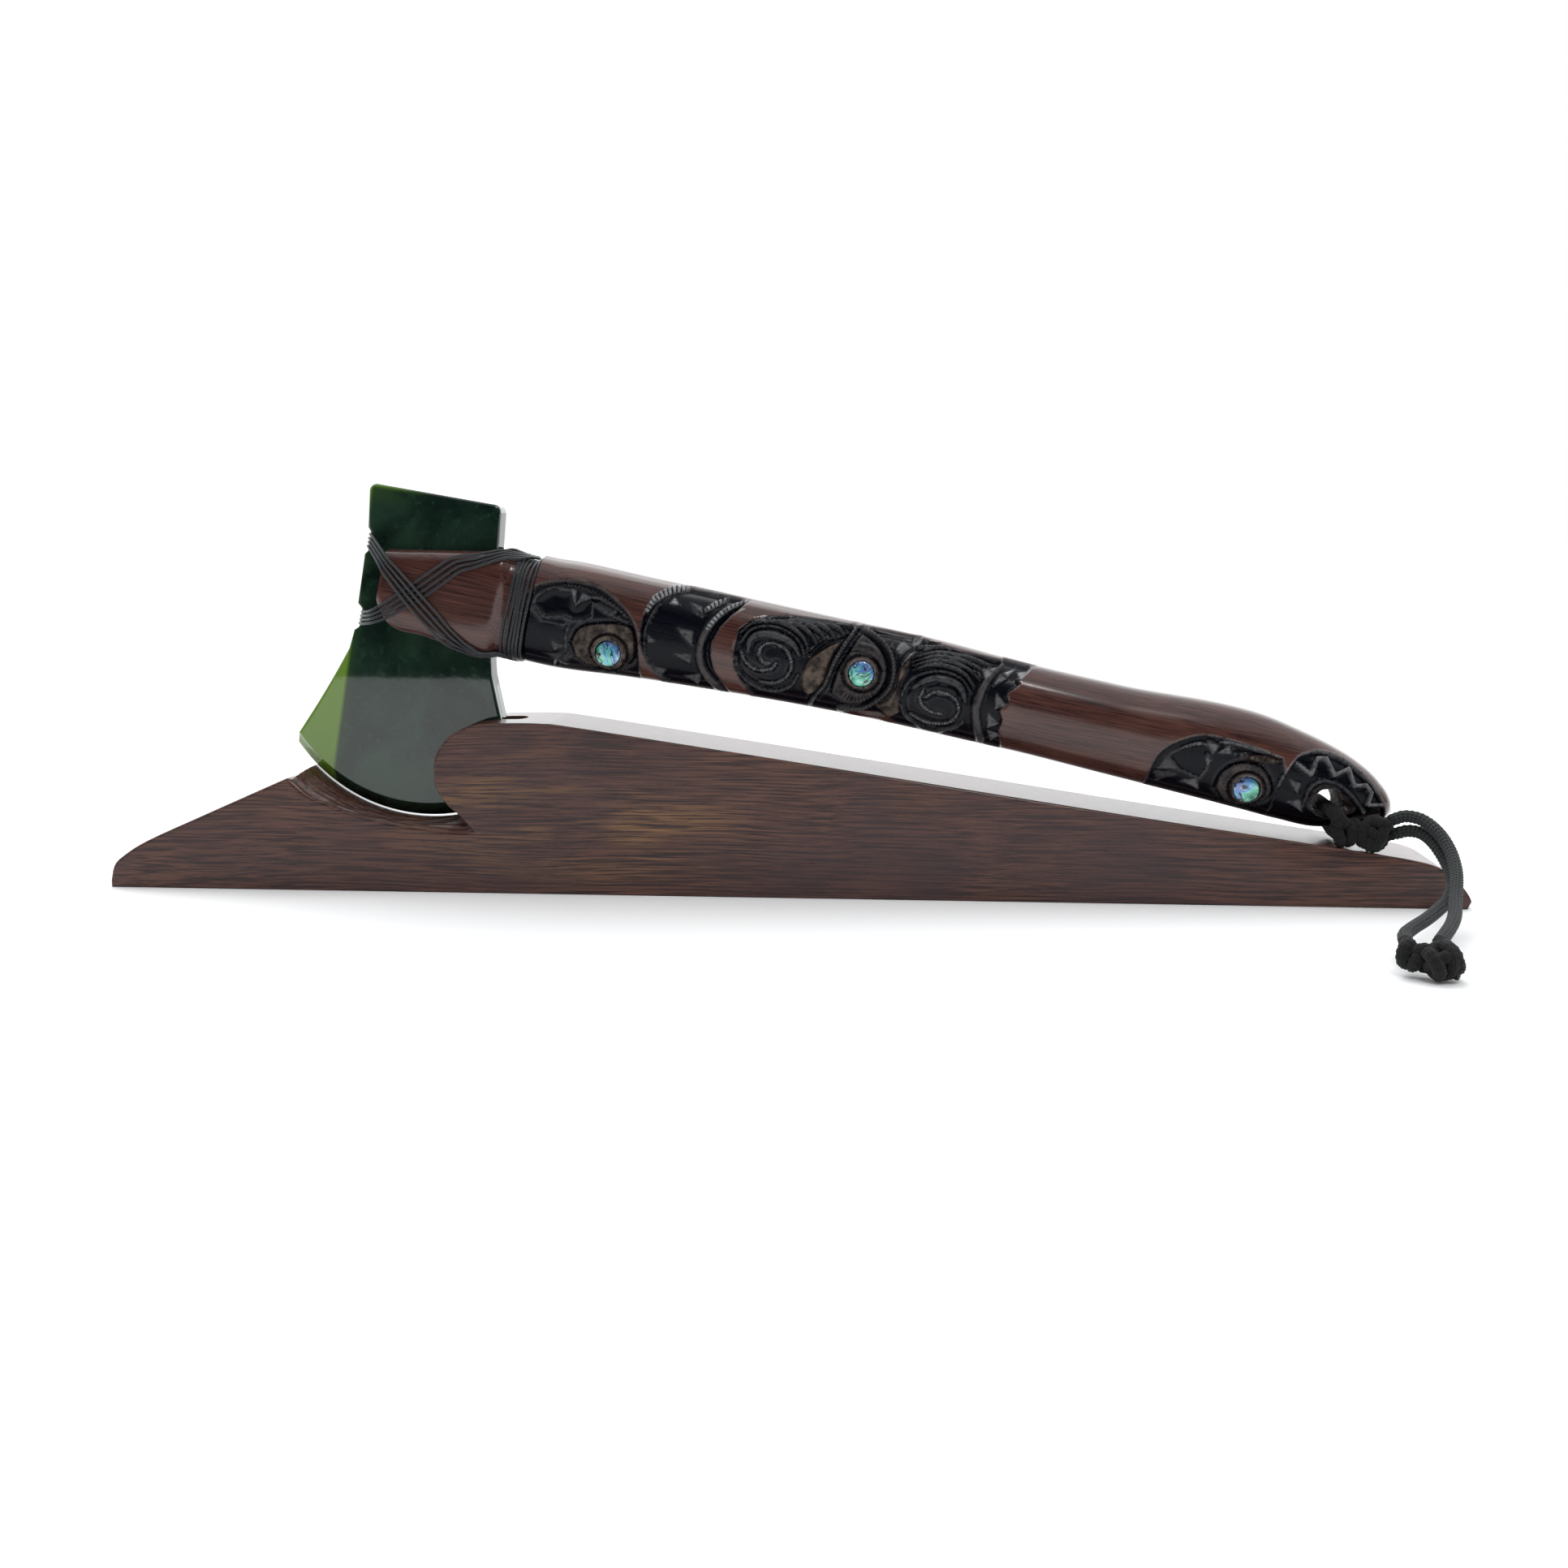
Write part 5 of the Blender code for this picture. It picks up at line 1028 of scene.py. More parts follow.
def handle_cutters(inner_wood, hole_wood):
    """The blade's slot between the cheeks, the lanyard hole and the pockets for the shell."""
    outline = [(-12.0, 30.0), (35.6, 30.0), (37.0, 10.0), (39.2, -24.0), (-12.0, -24.0)]
    rings = [[Vector((x, depth, z)) * MM for x, z in outline] for depth in (-BLADE_ROOM, BLADE_ROOM)]
    slot = lofted("blade_slot", rings)
    slot.materials.append(inner_wood)
    cutters = [bpy.data.objects.new("blade_slot", slot)]
    cutters.append(round_plug("lanyard_hole", HOLE[:2], HOLE[2], -30.0, 30.0, hole_wood, 40, 0.22))
    for k, eye in enumerate(EYES):
        floor = front_depth(*eye) + SHELL_FACE - POCKET_DEEP
        for sign in (-1, 1):
            name = f"pocket_{k}_{sign + 1}"
            cutters.append(round_plug(name, eye, SHELL_RADIUS + GLUE_GAP, sign * floor, sign * (floor + 12),
                                      inner_wood))
    return cutters


def stored_parts(tree, name):
    """The three values that a mesh stores on its points under one name."""
    stored = node(tree, "ShaderNodeAttribute", attribute_name=name).outputs["Color"]
    return node(tree, "ShaderNodeSeparateColor", {0: stored}).outputs


def handle_wood_material():
    """Reddish hardwood, polished and streaked: black where stained, dull brown where bare, with painted
    highlights and painted shade in the nicks.
    """
    material, tree, shader = new_material("handle_wood", Coat_Roughness=0.13, Specular_IOR_Level=0.12)
    place = own_place(tree)
    turned = node(tree, "ShaderNodeMapping", {"Vector": place, "Rotation": (0.0, -TILT, 0.0)}).outputs[0]
    streaks, pores, figure = fibre_of(tree, turned, 1.3)
    stain, bare, painted_highlight = stored_parts(tree, "finish")
    brown = blended(tree, eased(tree, streaks, 0.34, 0.66), (0.024, 0.0100, 0.0092), (0.098, 0.038, 0.030))
    brown = blended(tree, eased(tree, figure, 0.5, 0.68, 0.0, 0.5), brown, (0.130, 0.056, 0.040))
    brown = blended(tree, times(tree, pores, 0.5), brown, (0.010, 0.004, 0.004))
    torn = noise(tree, place, 300.0, 5.0)
    dull = blended(tree, eased(tree, torn, 0.38, 0.62), (0.016, 0.011, 0.009), (0.118, 0.090, 0.072))
    black = blended(tree, eased(tree, streaks, 0.3, 0.7), (0.0012, 0.0014, 0.0030), (0.0036, 0.0044, 0.0090))
    colour = blended(tree, bare, brown, dull)
    colour = blended(tree, stain, colour, black)
    # Painted highlight: light grey painted over carved crests and chips, broken up by fine noise.
    highlight_breakup = noise(tree, place, 700.0, 3.0)
    highlight_share = maths(tree, "MULTIPLY", painted_highlight, eased(tree, highlight_breakup, 0.32, 0.52, 0.35, 1.0), clamp=True)
    colour = blended(tree, highlight_share, colour, (0.30, 0.30, 0.31))
    turns, nicked, _ = stored_parts(tree, "nicks")
    wave = maths(tree, "COSINE", times(tree, turns, 2 * math.pi))
    nick = times(tree, eased(tree, wave, 0.35, 0.85), nicked)
    # Painted shade: the bottoms of the nicks darkened nearly to black.
    colour = blended(tree, times(tree, nick, 0.9), colour, (0.0020, 0.0020, 0.0030))
    rough = eased(tree, streaks, 0.3, 0.7, 0.24, 0.34)
    rough = minus(tree, rough, times(tree, stain, 0.02))
    rough = plus(tree, rough, times(tree, bare, 0.33))
    coat = times(tree, maths(tree, "MAXIMUM", bare, stain), 0.72)
    coat = maths(tree, "SUBTRACT", 0.80, coat, clamp=True)
    tool = noise(tree, place, 420.0, 4.0)
    relief = plus(tree, times(tree, streaks, 0.35), times(tree, tool, stain))
    relief = plus(tree, relief, times(tree, tool, times(tree, bare, 2.0)))
    relief = minus(tree, relief, times(tree, nick, 3.0))
    bump = bumped(tree, relief, 0.5, 0.00016)
    plug(tree, shader, Base_Color=colour, Roughness=rough, Coat_Weight=coat, Normal=bump)
    return material


def raw_wood_material(name, dark, light, strength):
    """Wood as the tool left it, inside the slot and the holes."""
    material, tree, shader = new_material(name)
    place = own_place(tree)
    torn = noise(tree, place, 380.0, 5.0)
    plug(tree, shader, Base_Color=blended(tree, eased(tree, torn, 0.35, 0.65), dark, light),
         Roughness=eased(tree, torn, 0.3, 0.7, 0.45, 0.75))
    bump = bumped(tree, torn, strength, 0.0006)
    plug(tree, shader, Normal=bump)
    return material


handle_wood = handle_wood_material()
inner_wood = raw_wood_material("slot_wood", (0.010, 0.005, 0.005), (0.030, 0.014, 0.012), 0.3)
hole_wood = raw_wood_material("hole_wood", (0.012, 0.008, 0.006), (0.100, 0.062, 0.040), 1.0)
handle = add_piece("carved_handle", handle_mesh(), handle_wood)
cut_from(handle, handle_cutters(inner_wood, hole_wood))
handle.data.transform(IN_THE_STAND)
shade(handle.data, 55)
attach(handle, "root")
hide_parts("handle")


# Greenstone blade
# A flat plate of dark nephrite, ground and polished, with rounded arrises and a curved cutting edge bevelled
# from both faces. It has two nicks in its left side that hold the lashing.

BLADE_HALF = 5.0
BLADE_LENGTH = 110.8
POLL_HALF = 22.8
POLL_PLACE = (12.0, 33.6)
LEAN = math.radians(2.6)
EDGE_RADIUS = 56.3
EDGE_DOWN = BLADE_LENGTH - EDGE_RADIUS
EDGE_SIDE = 3.7
TOE_SIDE = -37.1
HEEL_SIDE = 43.0
FLARE_DOWN = 53.0
WAIST_SIDE = 26.3
SHANK_SIDE = 21.6
NICKS = ((45.8, 2.3), (19.6, 1.6))
NICK_HALF = 3.2


def on_blade(side, down):
    """A point of the blade, given across and down from its poll, in the handle's plane."""
    along = POLL_PLACE[0] + side * math.cos(LEAN) + down * math.sin(LEAN)
    up = POLL_PLACE[1] + side * math.sin(LEAN) - down * math.cos(LEAN)
    return along, up


def bow(start, end, sag):
    """Places between two points, on a line that bends evenly to one side."""
    gap = Vector(end) - Vector(start)
    aside = Vector((gap.y, -gap.x)).normalized() * sag
    return [tuple(Vector(start) + gap * k / 9 + aside * math.sin(math.pi * k / 9)) for k in range(1, 9)]


def blade_outline(inset, edge_inset):
    """The blade's outline, pulled in by an arris all round and by the bevel along its cutting edge."""
    left, right = -POLL_HALF + inset, POLL_HALF - inset
    corner = 2.6
    outline = [(left + corner * (1 - math.cos(t)), inset + corner * (1 - math.sin(t)))
               for t in np.linspace(0, math.pi / 2, 7)]
    outline += [(right - corner * (1 - math.sin(t)), inset + corner * (1 - math.cos(t)))
                for t in np.linspace(0, math.pi / 2, 7)]
    outline += [(right + (WAIST_SIDE - POLL_HALF) * (d / FLARE_DOWN), d) for d in (12.0, 26.0, 40.0, 48.0)]
    heel, toe = HEEL_SIDE - inset, TOE_SIDE + inset
    edge = []
    for k in range(49):
        side = heel + (toe - heel) * k / 48
        down = EDGE_DOWN + math.sqrt(EDGE_RADIUS**2 - (side - EDGE_SIDE) ** 2)
        edge.append((side * (1 - 0.3 * edge_inset / HEEL_SIDE), down - edge_inset))
    outline += bow((WAIST_SIDE - inset, FLARE_DOWN), edge[0], -0.5) + edge
    shank = -SHANK_SIDE + inset
    outline += bow(edge[-1], (shank + 0.6, FLARE_DOWN), -0.5)
    for down, deep in NICKS:
        for share in np.linspace(-1, 1, 9):
            notch = math.cos(share * math.pi / 2) ** 0.6
            outline.append((shank + deep * notch, down - share * (NICK_HALF + 1.4)))
    return outline


def blade_mesh():
    """The plate, as outlines at several depths: a rounded arris, then the bevel that thins to the edge."""
    levels = []
    for k in range(5):
        turn = math.pi / 2 * k / 4
        levels.append((BLADE_HALF - 0.9 * (1 - math.cos(turn)), 0.9 * (1 - math.sin(turn)),
                       4.8 - 0.55 * math.sin(turn)))
    levels += [(2.6, 0.0, 2.9), (1.3, 0.0, 1.35), (0.35, 0.0, 0.2), (0.0, 0.0, 0.0)]
    rings = []
    for depth, inset, edge_inset in levels + [(-d, i, e) for d, i, e in levels[-2::-1]]:
        outline = [on_blade(*point) for point in blade_outline(inset, edge_inset)]
        rings.append([Vector((a, -depth, u)) * MM for a, u in outline])
    return lofted("greenstone_blade", rings)


def greenstone_material():
    """Dark polished nephrite: cloudy deep green with finer flecks, and a painted glow of light green along
    its toe side and thin left arris.
    """
    material, tree, shader = new_material("greenstone", IOR=1.61)
    place = own_place(tree)
    cloud = noise(tree, place, 42.0, 4.0, 0.8)
    fleck = noise(tree, place, 480.0, 3.0)
    deep = blended(tree, eased(tree, cloud, 0.35, 0.68), (0.0030, 0.0105, 0.0075),
                   (0.0180, 0.0440, 0.0270))
    deep = blended(tree, eased(tree, fleck, 0.56, 0.70, 0.0, 0.5), deep, (0.016, 0.048, 0.034))
    centre = IN_THE_STAND @ Vector((on_blade(0.0, 0.0)[0] * MM, 0.0, on_blade(0.0, 0.0)[1] * MM))
    moved = vectors(tree, "SUBTRACT", place, centre)
    turned = node(tree, "ShaderNodeMapping", {"Vector": moved, "Rotation": (0.0, -TILT + LEAN,
                                                                            0.0)}).outputs[0]
    axes = node(tree, "ShaderNodeSeparateXYZ", {0: turned})
    warp = times(tree, minus(tree, cloud, 0.5), 0.016)
    from_left = plus(tree, plus(tree, axes.outputs[0], POLL_HALF * MM), warp)
    left = eased(tree, from_left, 0.0045, 0.0003)
    below_top = plus(tree, times(tree, axes.outputs[2], -1.0), warp)
    top = times(tree, eased(tree, below_top, 0.009, 0.0), eased(tree, from_left, 0.020, 0.003))
    # Painted glow of light through the stone: light green along the left side and upper left corner, broken
    # by its clouds.
    edge_glow = times(tree, maths(tree, "MAXIMUM", left, top), eased(tree, cloud, 0.36, 0.60))
    colour = blended(tree, times(tree, edge_glow, 0.8), deep, (0.040, 0.085, 0.018))
    # Painted glow: a brighter yellow green along the thin left arris.
    arris_glow = maths(tree, "MAXIMUM", eased(tree, axes.outputs[0], (1.5 - POLL_HALF) * MM,
                                        (0.2 - POLL_HALF) * MM),
                 times(tree, eased(tree, axes.outputs[2], -0.0016, -0.0002),
                       eased(tree, from_left, 0.02, 0.0)))
    colour = blended(tree, times(tree, arris_glow, 0.8), colour, (0.160, 0.280, 0.035))
    bump = bumped(tree, cloud, 0.012, 0.0008)
    plug(tree, shader, Base_Color=colour, Roughness=eased(tree, fleck, 0.3, 0.7, 0.020, 0.040), Normal=bump)
    return material


blade = add_piece("greenstone_blade", blade_mesh(), greenstone_material())
shade(blade.data, 24, 20)
blade.data.transform(IN_THE_STAND)
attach(blade, "root")
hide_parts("blade")


# Shell eyes
# Round discs of paua shell let into the carved eyes with black glue, ground slightly domed and polished.

def shell_material():
    """Paua: green to blue across the disc in soft bands, with a few bold dark lines where its layers meet."""
    material, tree, shader = new_material("paua_shell", Metallic=0.3, Roughness=0.18, Coat_Weight=1.0,
                                          Coat_Roughness=0.02)
    place = node(tree, "ShaderNodeAttribute", attribute_name="on_disc").outputs["Vector"]
    swirl = noise(tree, place, 0.9, 2.0, 0.8)
    across = node(tree, "ShaderNodeSeparateXYZ", {0: place}).outputs[0]
    shift = plus(tree, times(tree, across, 0.24), swirl)
    ramp = node(tree, "ShaderNodeValToRGB", {0: shift})
    stops = ((0.22, (0.02, 0.20, 0.12)), (0.36, (0.09, 0.48, 0.30)), (0.48, (0.17, 0.54, 0.55)),
             (0.58, (0.08, 0.27, 0.56)), (0.70, (0.16, 0.19, 0.46)), (0.84, (0.28, 0.52, 0.52)))
    for k, (position, colour) in enumerate(stops):
        stop = ramp.color_ramp.elements[k] if k < 2 else ramp.color_ramp.elements.new(position)
        stop.position = position
        stop.color = (*colour, 1.0)
    sheen = noise(tree, place, 2.6, 2.0)
    colour = blended(tree, eased(tree, sheen, 0.52, 0.66, 0.0, 0.40), ramp.outputs[0], (0.62, 0.92, 0.88))
    veins = noise(tree, place, 0.62, 1.0, 1.6)
    line = maths(tree, "ABSOLUTE", minus(tree, veins, 0.5))
    colour = blended(tree, eased(tree, line, 0.026, 0.014), colour, (0.010, 0.020, 0.030))
    bump = bumped(tree, line, 0.15, 0.0002)
    plug(tree, shader, Base_Color=colour, Normal=bump)
    return material


def shell_mesh(name, centre, face, sign, turn, layer):
    """One disc: a flat back, a short wall and a low dome with a ground edge, and its own pattern."""
    rings = []
    profile = [(3.9, -1.6), (SHELL_RADIUS, -1.4), (SHELL_RADIUS, -0.35), (4.08, -0.2), (3.85, -0.1)]
    profile += [(3.85 * math.cos(t), -0.1 + 0.22 * math.sin(t)) for t in np.linspace(0.25, math.pi / 2 - 0.06,
                                                                                     7)]
    for radius, height in profile:
        depth = sign * (face + height)
        rings.append([
            Vector((centre[0] + radius * math.cos(t), depth, centre[1] + radius * math.sin(t))) * MM
            for t in np.linspace(0, 2 * math.pi, 48, endpoint=False)
        ])
    mesh = lofted(name, rings)
    held = mesh.attributes.new("on_disc", "FLOAT_VECTOR", "POINT")
    for point, entry in zip(mesh.vertices, held.data):
        across = (point.co.x / MM - centre[0]) / SHELL_RADIUS
        rise = (point.co.z / MM - centre[1]) / SHELL_RADIUS
        entry.vector = (across * math.cos(turn) + rise * math.sin(turn),
                        rise * math.cos(turn) - across * math.sin(turn), layer)
    return mesh


SHELL_TURNS = (0.0, 1.4, 2.6)

paua = shell_material()
for number, (eye, shell_turn) in enumerate(zip(EYES, SHELL_TURNS)):
    face = front_depth(*eye) + SHELL_FACE
    for side_name, sign in (("front", -1), ("back", 1)):
        name = f"paua_disc_{side_name}_{number + 1}"
        mesh = shell_mesh(name, eye, face, sign, shell_turn, 2.7 * number + 1.3 * sign)
        disc = add_piece(name, mesh, paua)
        shade(mesh, 40)
        disc.data.transform(IN_THE_STAND)
        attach(disc, "root")
        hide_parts(f"shell_eye_{side_name}_{number + 1}")


# Lashing
# Waxed black cord in bands of four strands. They cross on each cheek, pass through the nicks of the blade,
# and are held by six turns round the neck of the handle.

STRAND = 1.0
STRAND_PITCH = 1.34
FAN = 0.42
GAP = 0.1
STRAND_WEAVE = {"sides": 14, "step": 0.0005, "bumps": 4, "bump_length": 0.0011, "relief": 0.00004}


def stored_value(tree, geometry, name, value):
    """Store a value on the points under a name."""
    sockets = {"Geometry": geometry, "Name": name, "Value": value}
    return node(tree, "GeometryNodeStoreNamedAttribute", sockets, data_type="FLOAT").outputs[0]


def braided_cord_tree():
    """Turns a line of edges into a round braided cord, with its weave raised and stored on its points."""
    sizes = [(name, "Float") for name in ("Diameter", "Step", "Bumps Around", "Bump Length", "Relief")]
    inputs = [("Line", "Geometry"), *sizes, ("Sides", "Int"), ("Finish", "Material")]
    tree, given = new_group("braided_cord", "GeometryNodeTree", inputs, [("Cord", "Geometry")])
    line = node(tree, "GeometryNodeMeshToCurve", {"Mesh": given["Line"]}).outputs[0]
    line = node(tree, "GeometryNodeResampleCurve", {"Curve": line, "Length": given["Step"]},
                mode="LENGTH").outputs[0]
    run = node(tree, "GeometryNodeSplineParameter").outputs["Length"]
    line = stored_value(tree, line, "run", run)
    radius = times(tree, given["Diameter"], 0.5)
    ring = node(tree, "GeometryNodeCurvePrimitiveCircle", {"Resolution": given["Sides"],
                                                           "Radius": radius}).outputs[0]
    turn = node(tree, "GeometryNodeSplineParameter").outputs["Factor"]
    ring = stored_value(tree, ring, "turn", turn)
    tube = node(tree, "GeometryNodeCurveToMesh", {"Curve": line, "Profile Curve": ring,
                                                  "Fill Caps": True}).outputs[0]
    turn = node(tree, "GeometryNodeInputNamedAttribute", {"Name": "turn"}, data_type="FLOAT").outputs[0]
    run = node(tree, "GeometryNodeInputNamedAttribute", {"Name": "run"}, data_type="FLOAT").outputs[0]
    across = times(tree, times(tree, turn, given["Bumps Around"]), math.pi)
    down = times(tree, maths(tree, "DIVIDE", run, given["Bump Length"]), math.pi)
    one = maths(tree, "SINE", plus(tree, across, down))
    two = maths(tree, "SINE", minus(tree, across, down))
    weave = maths(tree, "MULTIPLY_ADD", times(tree, one, two), 0.5)
    weave.node.inputs[2].default_value = 0.5
    tube = stored_value(tree, tube, "weave", weave)
    rise = times(tree, minus(tree, weave, 0.7), given["Relief"])
    out = node(tree, "GeometryNodeInputNormal").outputs[0]
    shift = node(tree, "ShaderNodeVectorMath", {0: out, "Scale": rise}, operation="SCALE").outputs[0]
    tube = node(tree, "GeometryNodeSetPosition", {"Geometry": tube, "Offset": shift}).outputs[0]
    tube = node(tree, "GeometryNodeSetShadeSmooth", {"Geometry": tube}).outputs[0]
    tube = node(tree, "GeometryNodeRealizeInstances", {"Geometry": tube}).outputs[0]
    tube = node(tree, "GeometryNodeSetMaterial", {"Geometry": tube, "Material": given["Finish"]}).outputs[0]
    node(tree, "NodeGroupOutput", {"Cord": tube})
    return tree


braided_cord = braided_cord_tree()


def cord_piece(name, lines, material, diameter, sides, step, bumps, bump_length, relief):
    """A piece made of cords, each along a line of points in metres and open or closed."""
    places, edges = [], []
    for points, closed in lines:
        first = len(places)
        places += [tuple(point) for point in points]
        edges += [(first + k, first + k + 1) for k in range(len(points) - 1)]
        if closed:
            edges.append((len(places) - 1, first))
    mesh = bpy.data.meshes.new(name)
    mesh.from_pydata(places, edges, [])
    piece = bpy.data.objects.new(name, mesh)
    scene.collection.objects.link(piece)
    modifier = piece.modifiers.new("braid", "NODES")
    modifier.node_group = braided_cord
    values = {"Diameter": diameter, "Step": step, "Bumps Around": float(bumps), "Bump Length": bump_length,
              "Relief": relief, "Sides": sides, "Finish": material}
    for socket, value in values.items():
        modifier[braided_cord.interface.items_tree[socket].identifier] = value
    settle(piece)
    return piece


def fray_group():
    """Fine fibre fuzz of cord, as a height and a lightness."""
    group, given = new_group("fibre_fuzz", "ShaderNodeTree", [("Place", "Vector")], [("Fuzz", "Float")])
    fuzz = noise(group, given[0], 2600.0, 3.0)
    node(group, "NodeGroupOutput", {0: eased(group, fuzz, 0.35, 0.65)})
    return group


fibre_fuzz = fray_group()


def cord_material(name, low, high, roughness, sheen, strength):
    """Black cord, with painted shade between its strands and a painted highlight where they rise."""
    material, tree, shader = new_material(name, Sheen_Weight=sheen, Sheen_Roughness=0.4,
                                          Specular_IOR_Level=0.4)
    place = own_place(tree)
    made = node(tree, "ShaderNodeGroup", node_tree=fibre_fuzz)
    tree.links.new(place, made.inputs["Place"])
    fuzz = made.outputs["Fuzz"]
    weave = node(tree, "ShaderNodeAttribute", attribute_name="weave").outputs["Fac"]
    # Painted shade and highlight: the low colour where the weave sinks, the high colour where it rises.
    share = times(tree, eased(tree, weave, 0.1, 0.9), eased(tree, fuzz, 0.0, 1.0, 0.55, 1.0))
    plug(tree, shader, Base_Color=blended(tree, share, low, high),
         Roughness=eased(tree, fuzz, 0.0, 1.0, roughness, roughness + 0.15))
    bump = bumped(tree, fuzz, strength, 0.00012)
    plug(tree, shader, Normal=bump)
    return material


def side_offset(route, offset, lift):
    """A strand beside the middle of its band, a little further off where the band crosses the open cheek."""
    count = len(route)
    moved = []
    for k, (place, outward, rise) in enumerate(route):
        forward = (route[(k + 1) % count][0] - route[k - 1][0]).normalized()
        out = (outward - outward.dot(forward) * forward).normalized()
        spread = 1 + FAN * max(math.sin(math.pi * min(max(place.x / 33.0, 0.0), 1.0)), 0.0)
        moved.append(place + forward.cross(out) * offset * spread + out * (rise + lift))
    return moved


def closed_smooth(route, step):
    """A closed band route with more places, each with its outward direction and rise."""
    rows = [(*place, *out, rise) for place, out, rise in route]
    padded = np.array(rows[-2:] + rows + rows[:2])
    found = []
    for k in range(1, len(rows) + 1):
        a, b, c, d = padded[k:k + 4]
        count = max(int(np.linalg.norm(c[:3] - b[:3]) / step), 1)
        for m in range(count):
            row = curve_place(a, b, c, d, m / count)
            found.append((Vector(row[:3]), Vector(row[3:6]), float(row[6])))
    return found


def over_skin(along, degrees, rise=0.0):
    """A place on the neck or cheek, a strand's half width off the wood."""
    depth, up, out_depth, out_up = (float(x) for x in skin(along, math.radians(degrees)))
    gap = GAP + STRAND / 2
    return Vector((along, depth + out_depth * gap, up + out_up * gap)), Vector((0.0, out_depth, out_up)), rise


def band_route(nick_down, nick_depth, cheek, neck):
    """A lashing loop: from the blade's nick over the front cheek to the neck, and back behind."""
    edge_along, edge_up = on_blade(-SHANK_SIDE + nick_depth, nick_down)
    gap = GAP + STRAND / 2
    front = [
        (Vector((edge_along - gap, 0.0, edge_up)), Vector((-1.0, 0.0, 0.0)), 0.0),
        (Vector((edge_along - gap, -BLADE_HALF * 0.75, edge_up)), Vector((-1.0, -0.25, 0.0)), 0.0),
        (Vector((edge_along + 0.5, -BLADE_HALF - gap - 0.9, edge_up)), Vector((-0.8, -0.7, 0.0)), 0.0),
    ]
    for along, up, rise in cheek:
        out = Vector((-0.5 if along < 2 else 0.0, -1.0, 0.0))
        front.append((Vector((along, -HEAD_HALF - gap, up)), out, rise))
    front += [over_skin(*place) for place in neck]
    back = [(Vector((p.x, -p.y, p.z)), Vector((n.x, -n.y, n.z)), rise) for p, n, rise in front[1:-1]]
    return front + back[::-1]


ACROSS = STRAND * 0.95
FALLING_CHEEK = ((0.2, 8.6, 0.0), (3.5, 5.6, 0.4), (9.5, 1.0, ACROSS), (15.5, -3.6, ACROSS),
                 (21.5, -8.0, 0.3), (27.0, -12.0, 0.0))
FALLING_NECK = ((32.5, -56.0, 0.0), (38.0, -64.0, 0.0), (43.5, -70.0, 0.2), (46.6, -79.0, 0.5),
                (47.8, -90.0, 0.6))
RISING_CHEEK = ((0.4, -11.0, 0.0), (4.5, -8.0, 0.0), (9.5, -3.4, 0.0), (15.0, 1.8, 0.0), (20.5, 7.6, 0.0),
                (25.5, 12.6, 0.0))
RISING_NECK = ((31.0, 50.0, 0.0), (36.0, 56.0, 0.2), (39.5, 61.5, 0.3), (43.0, 68.0, 0.7), (46.5, 79.0, 1.1),
               (48.0, 90.0, 1.2))
BAND_STRANDS = 4
NECK_MIDDLE = 48.1
NECK_TURNS = 6


def lashing_lines():
    """Every strand of the lashing, as closed lines in the handle's plane."""
    lines = []
    for nick, cheek, neck in ((NICKS[1], FALLING_CHEEK, FALLING_NECK), (NICKS[0], RISING_CHEEK, RISING_NECK)):
        route = closed_smooth(band_route(*nick, cheek, neck), 1.0)
        for k in range(BAND_STRANDS):
            offset = (k - (BAND_STRANDS - 1) / 2) * STRAND_PITCH
            lines.append((side_offset(route, offset, 0.05 * (k % 2)), True))
    for k in range(NECK_TURNS):
        middle = NECK_MIDDLE + (k - (NECK_TURNS - 1) / 2) * STRAND_PITCH
        ring = []
        for m in range(72):
            angle = 360 * m / 72
            wander = 0.22 * math.sin(math.radians(angle) + 1.3 * k)
            wander += 0.12 * math.sin(math.radians(3 * angle) + k)
            place, out, _ = over_skin(middle + wander, angle)
            ring.append(place + out * 0.06 * (k % 2))
        lines.append((ring, True))
    return [([IN_THE_STAND @ (Vector(place) * MM) for place in line], closed) for line, closed in lines]


waxed_cord = cord_material("waxed_cord", (0.0030, 0.0033, 0.0042), (0.054, 0.060, 0.068), 0.34, 0.12, 0.3)
lashing = cord_piece("lashing_strands", lashing_lines(), waxed_cord, STRAND * MM, **STRAND_WEAVE)
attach(lashing, "root")
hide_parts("lashing")


# Cord through the butt
# The doubled wrist cord goes twice through the lanyard hole and round the lower corner of the butt, and is
# drawn into a small tight knot in front of it.

CORD = 4.0
HITCH_CORD = 3.8
KNOT_WEAVE = {"sides": 36, "step": 0.00045, "bumps": 12, "bump_length": 0.0014, "relief": 0.00055}
HITCH_LEANS = (-54.0, -38.0)
HITCH_LOBE = (333.6, -13.4, -8.0)
HITCH_BALL = (341.5, -15.2, -6.2)


def edge_reach(away):
    """Distance from the lanyard hole's middle to the butt's edge, in one direction of the handle's plane."""
    reach = 0.0
    while front_depth(HOLE[0] + away.x * reach, HOLE[1] + away.z * reach) > 0:
        reach += 0.1
    return reach


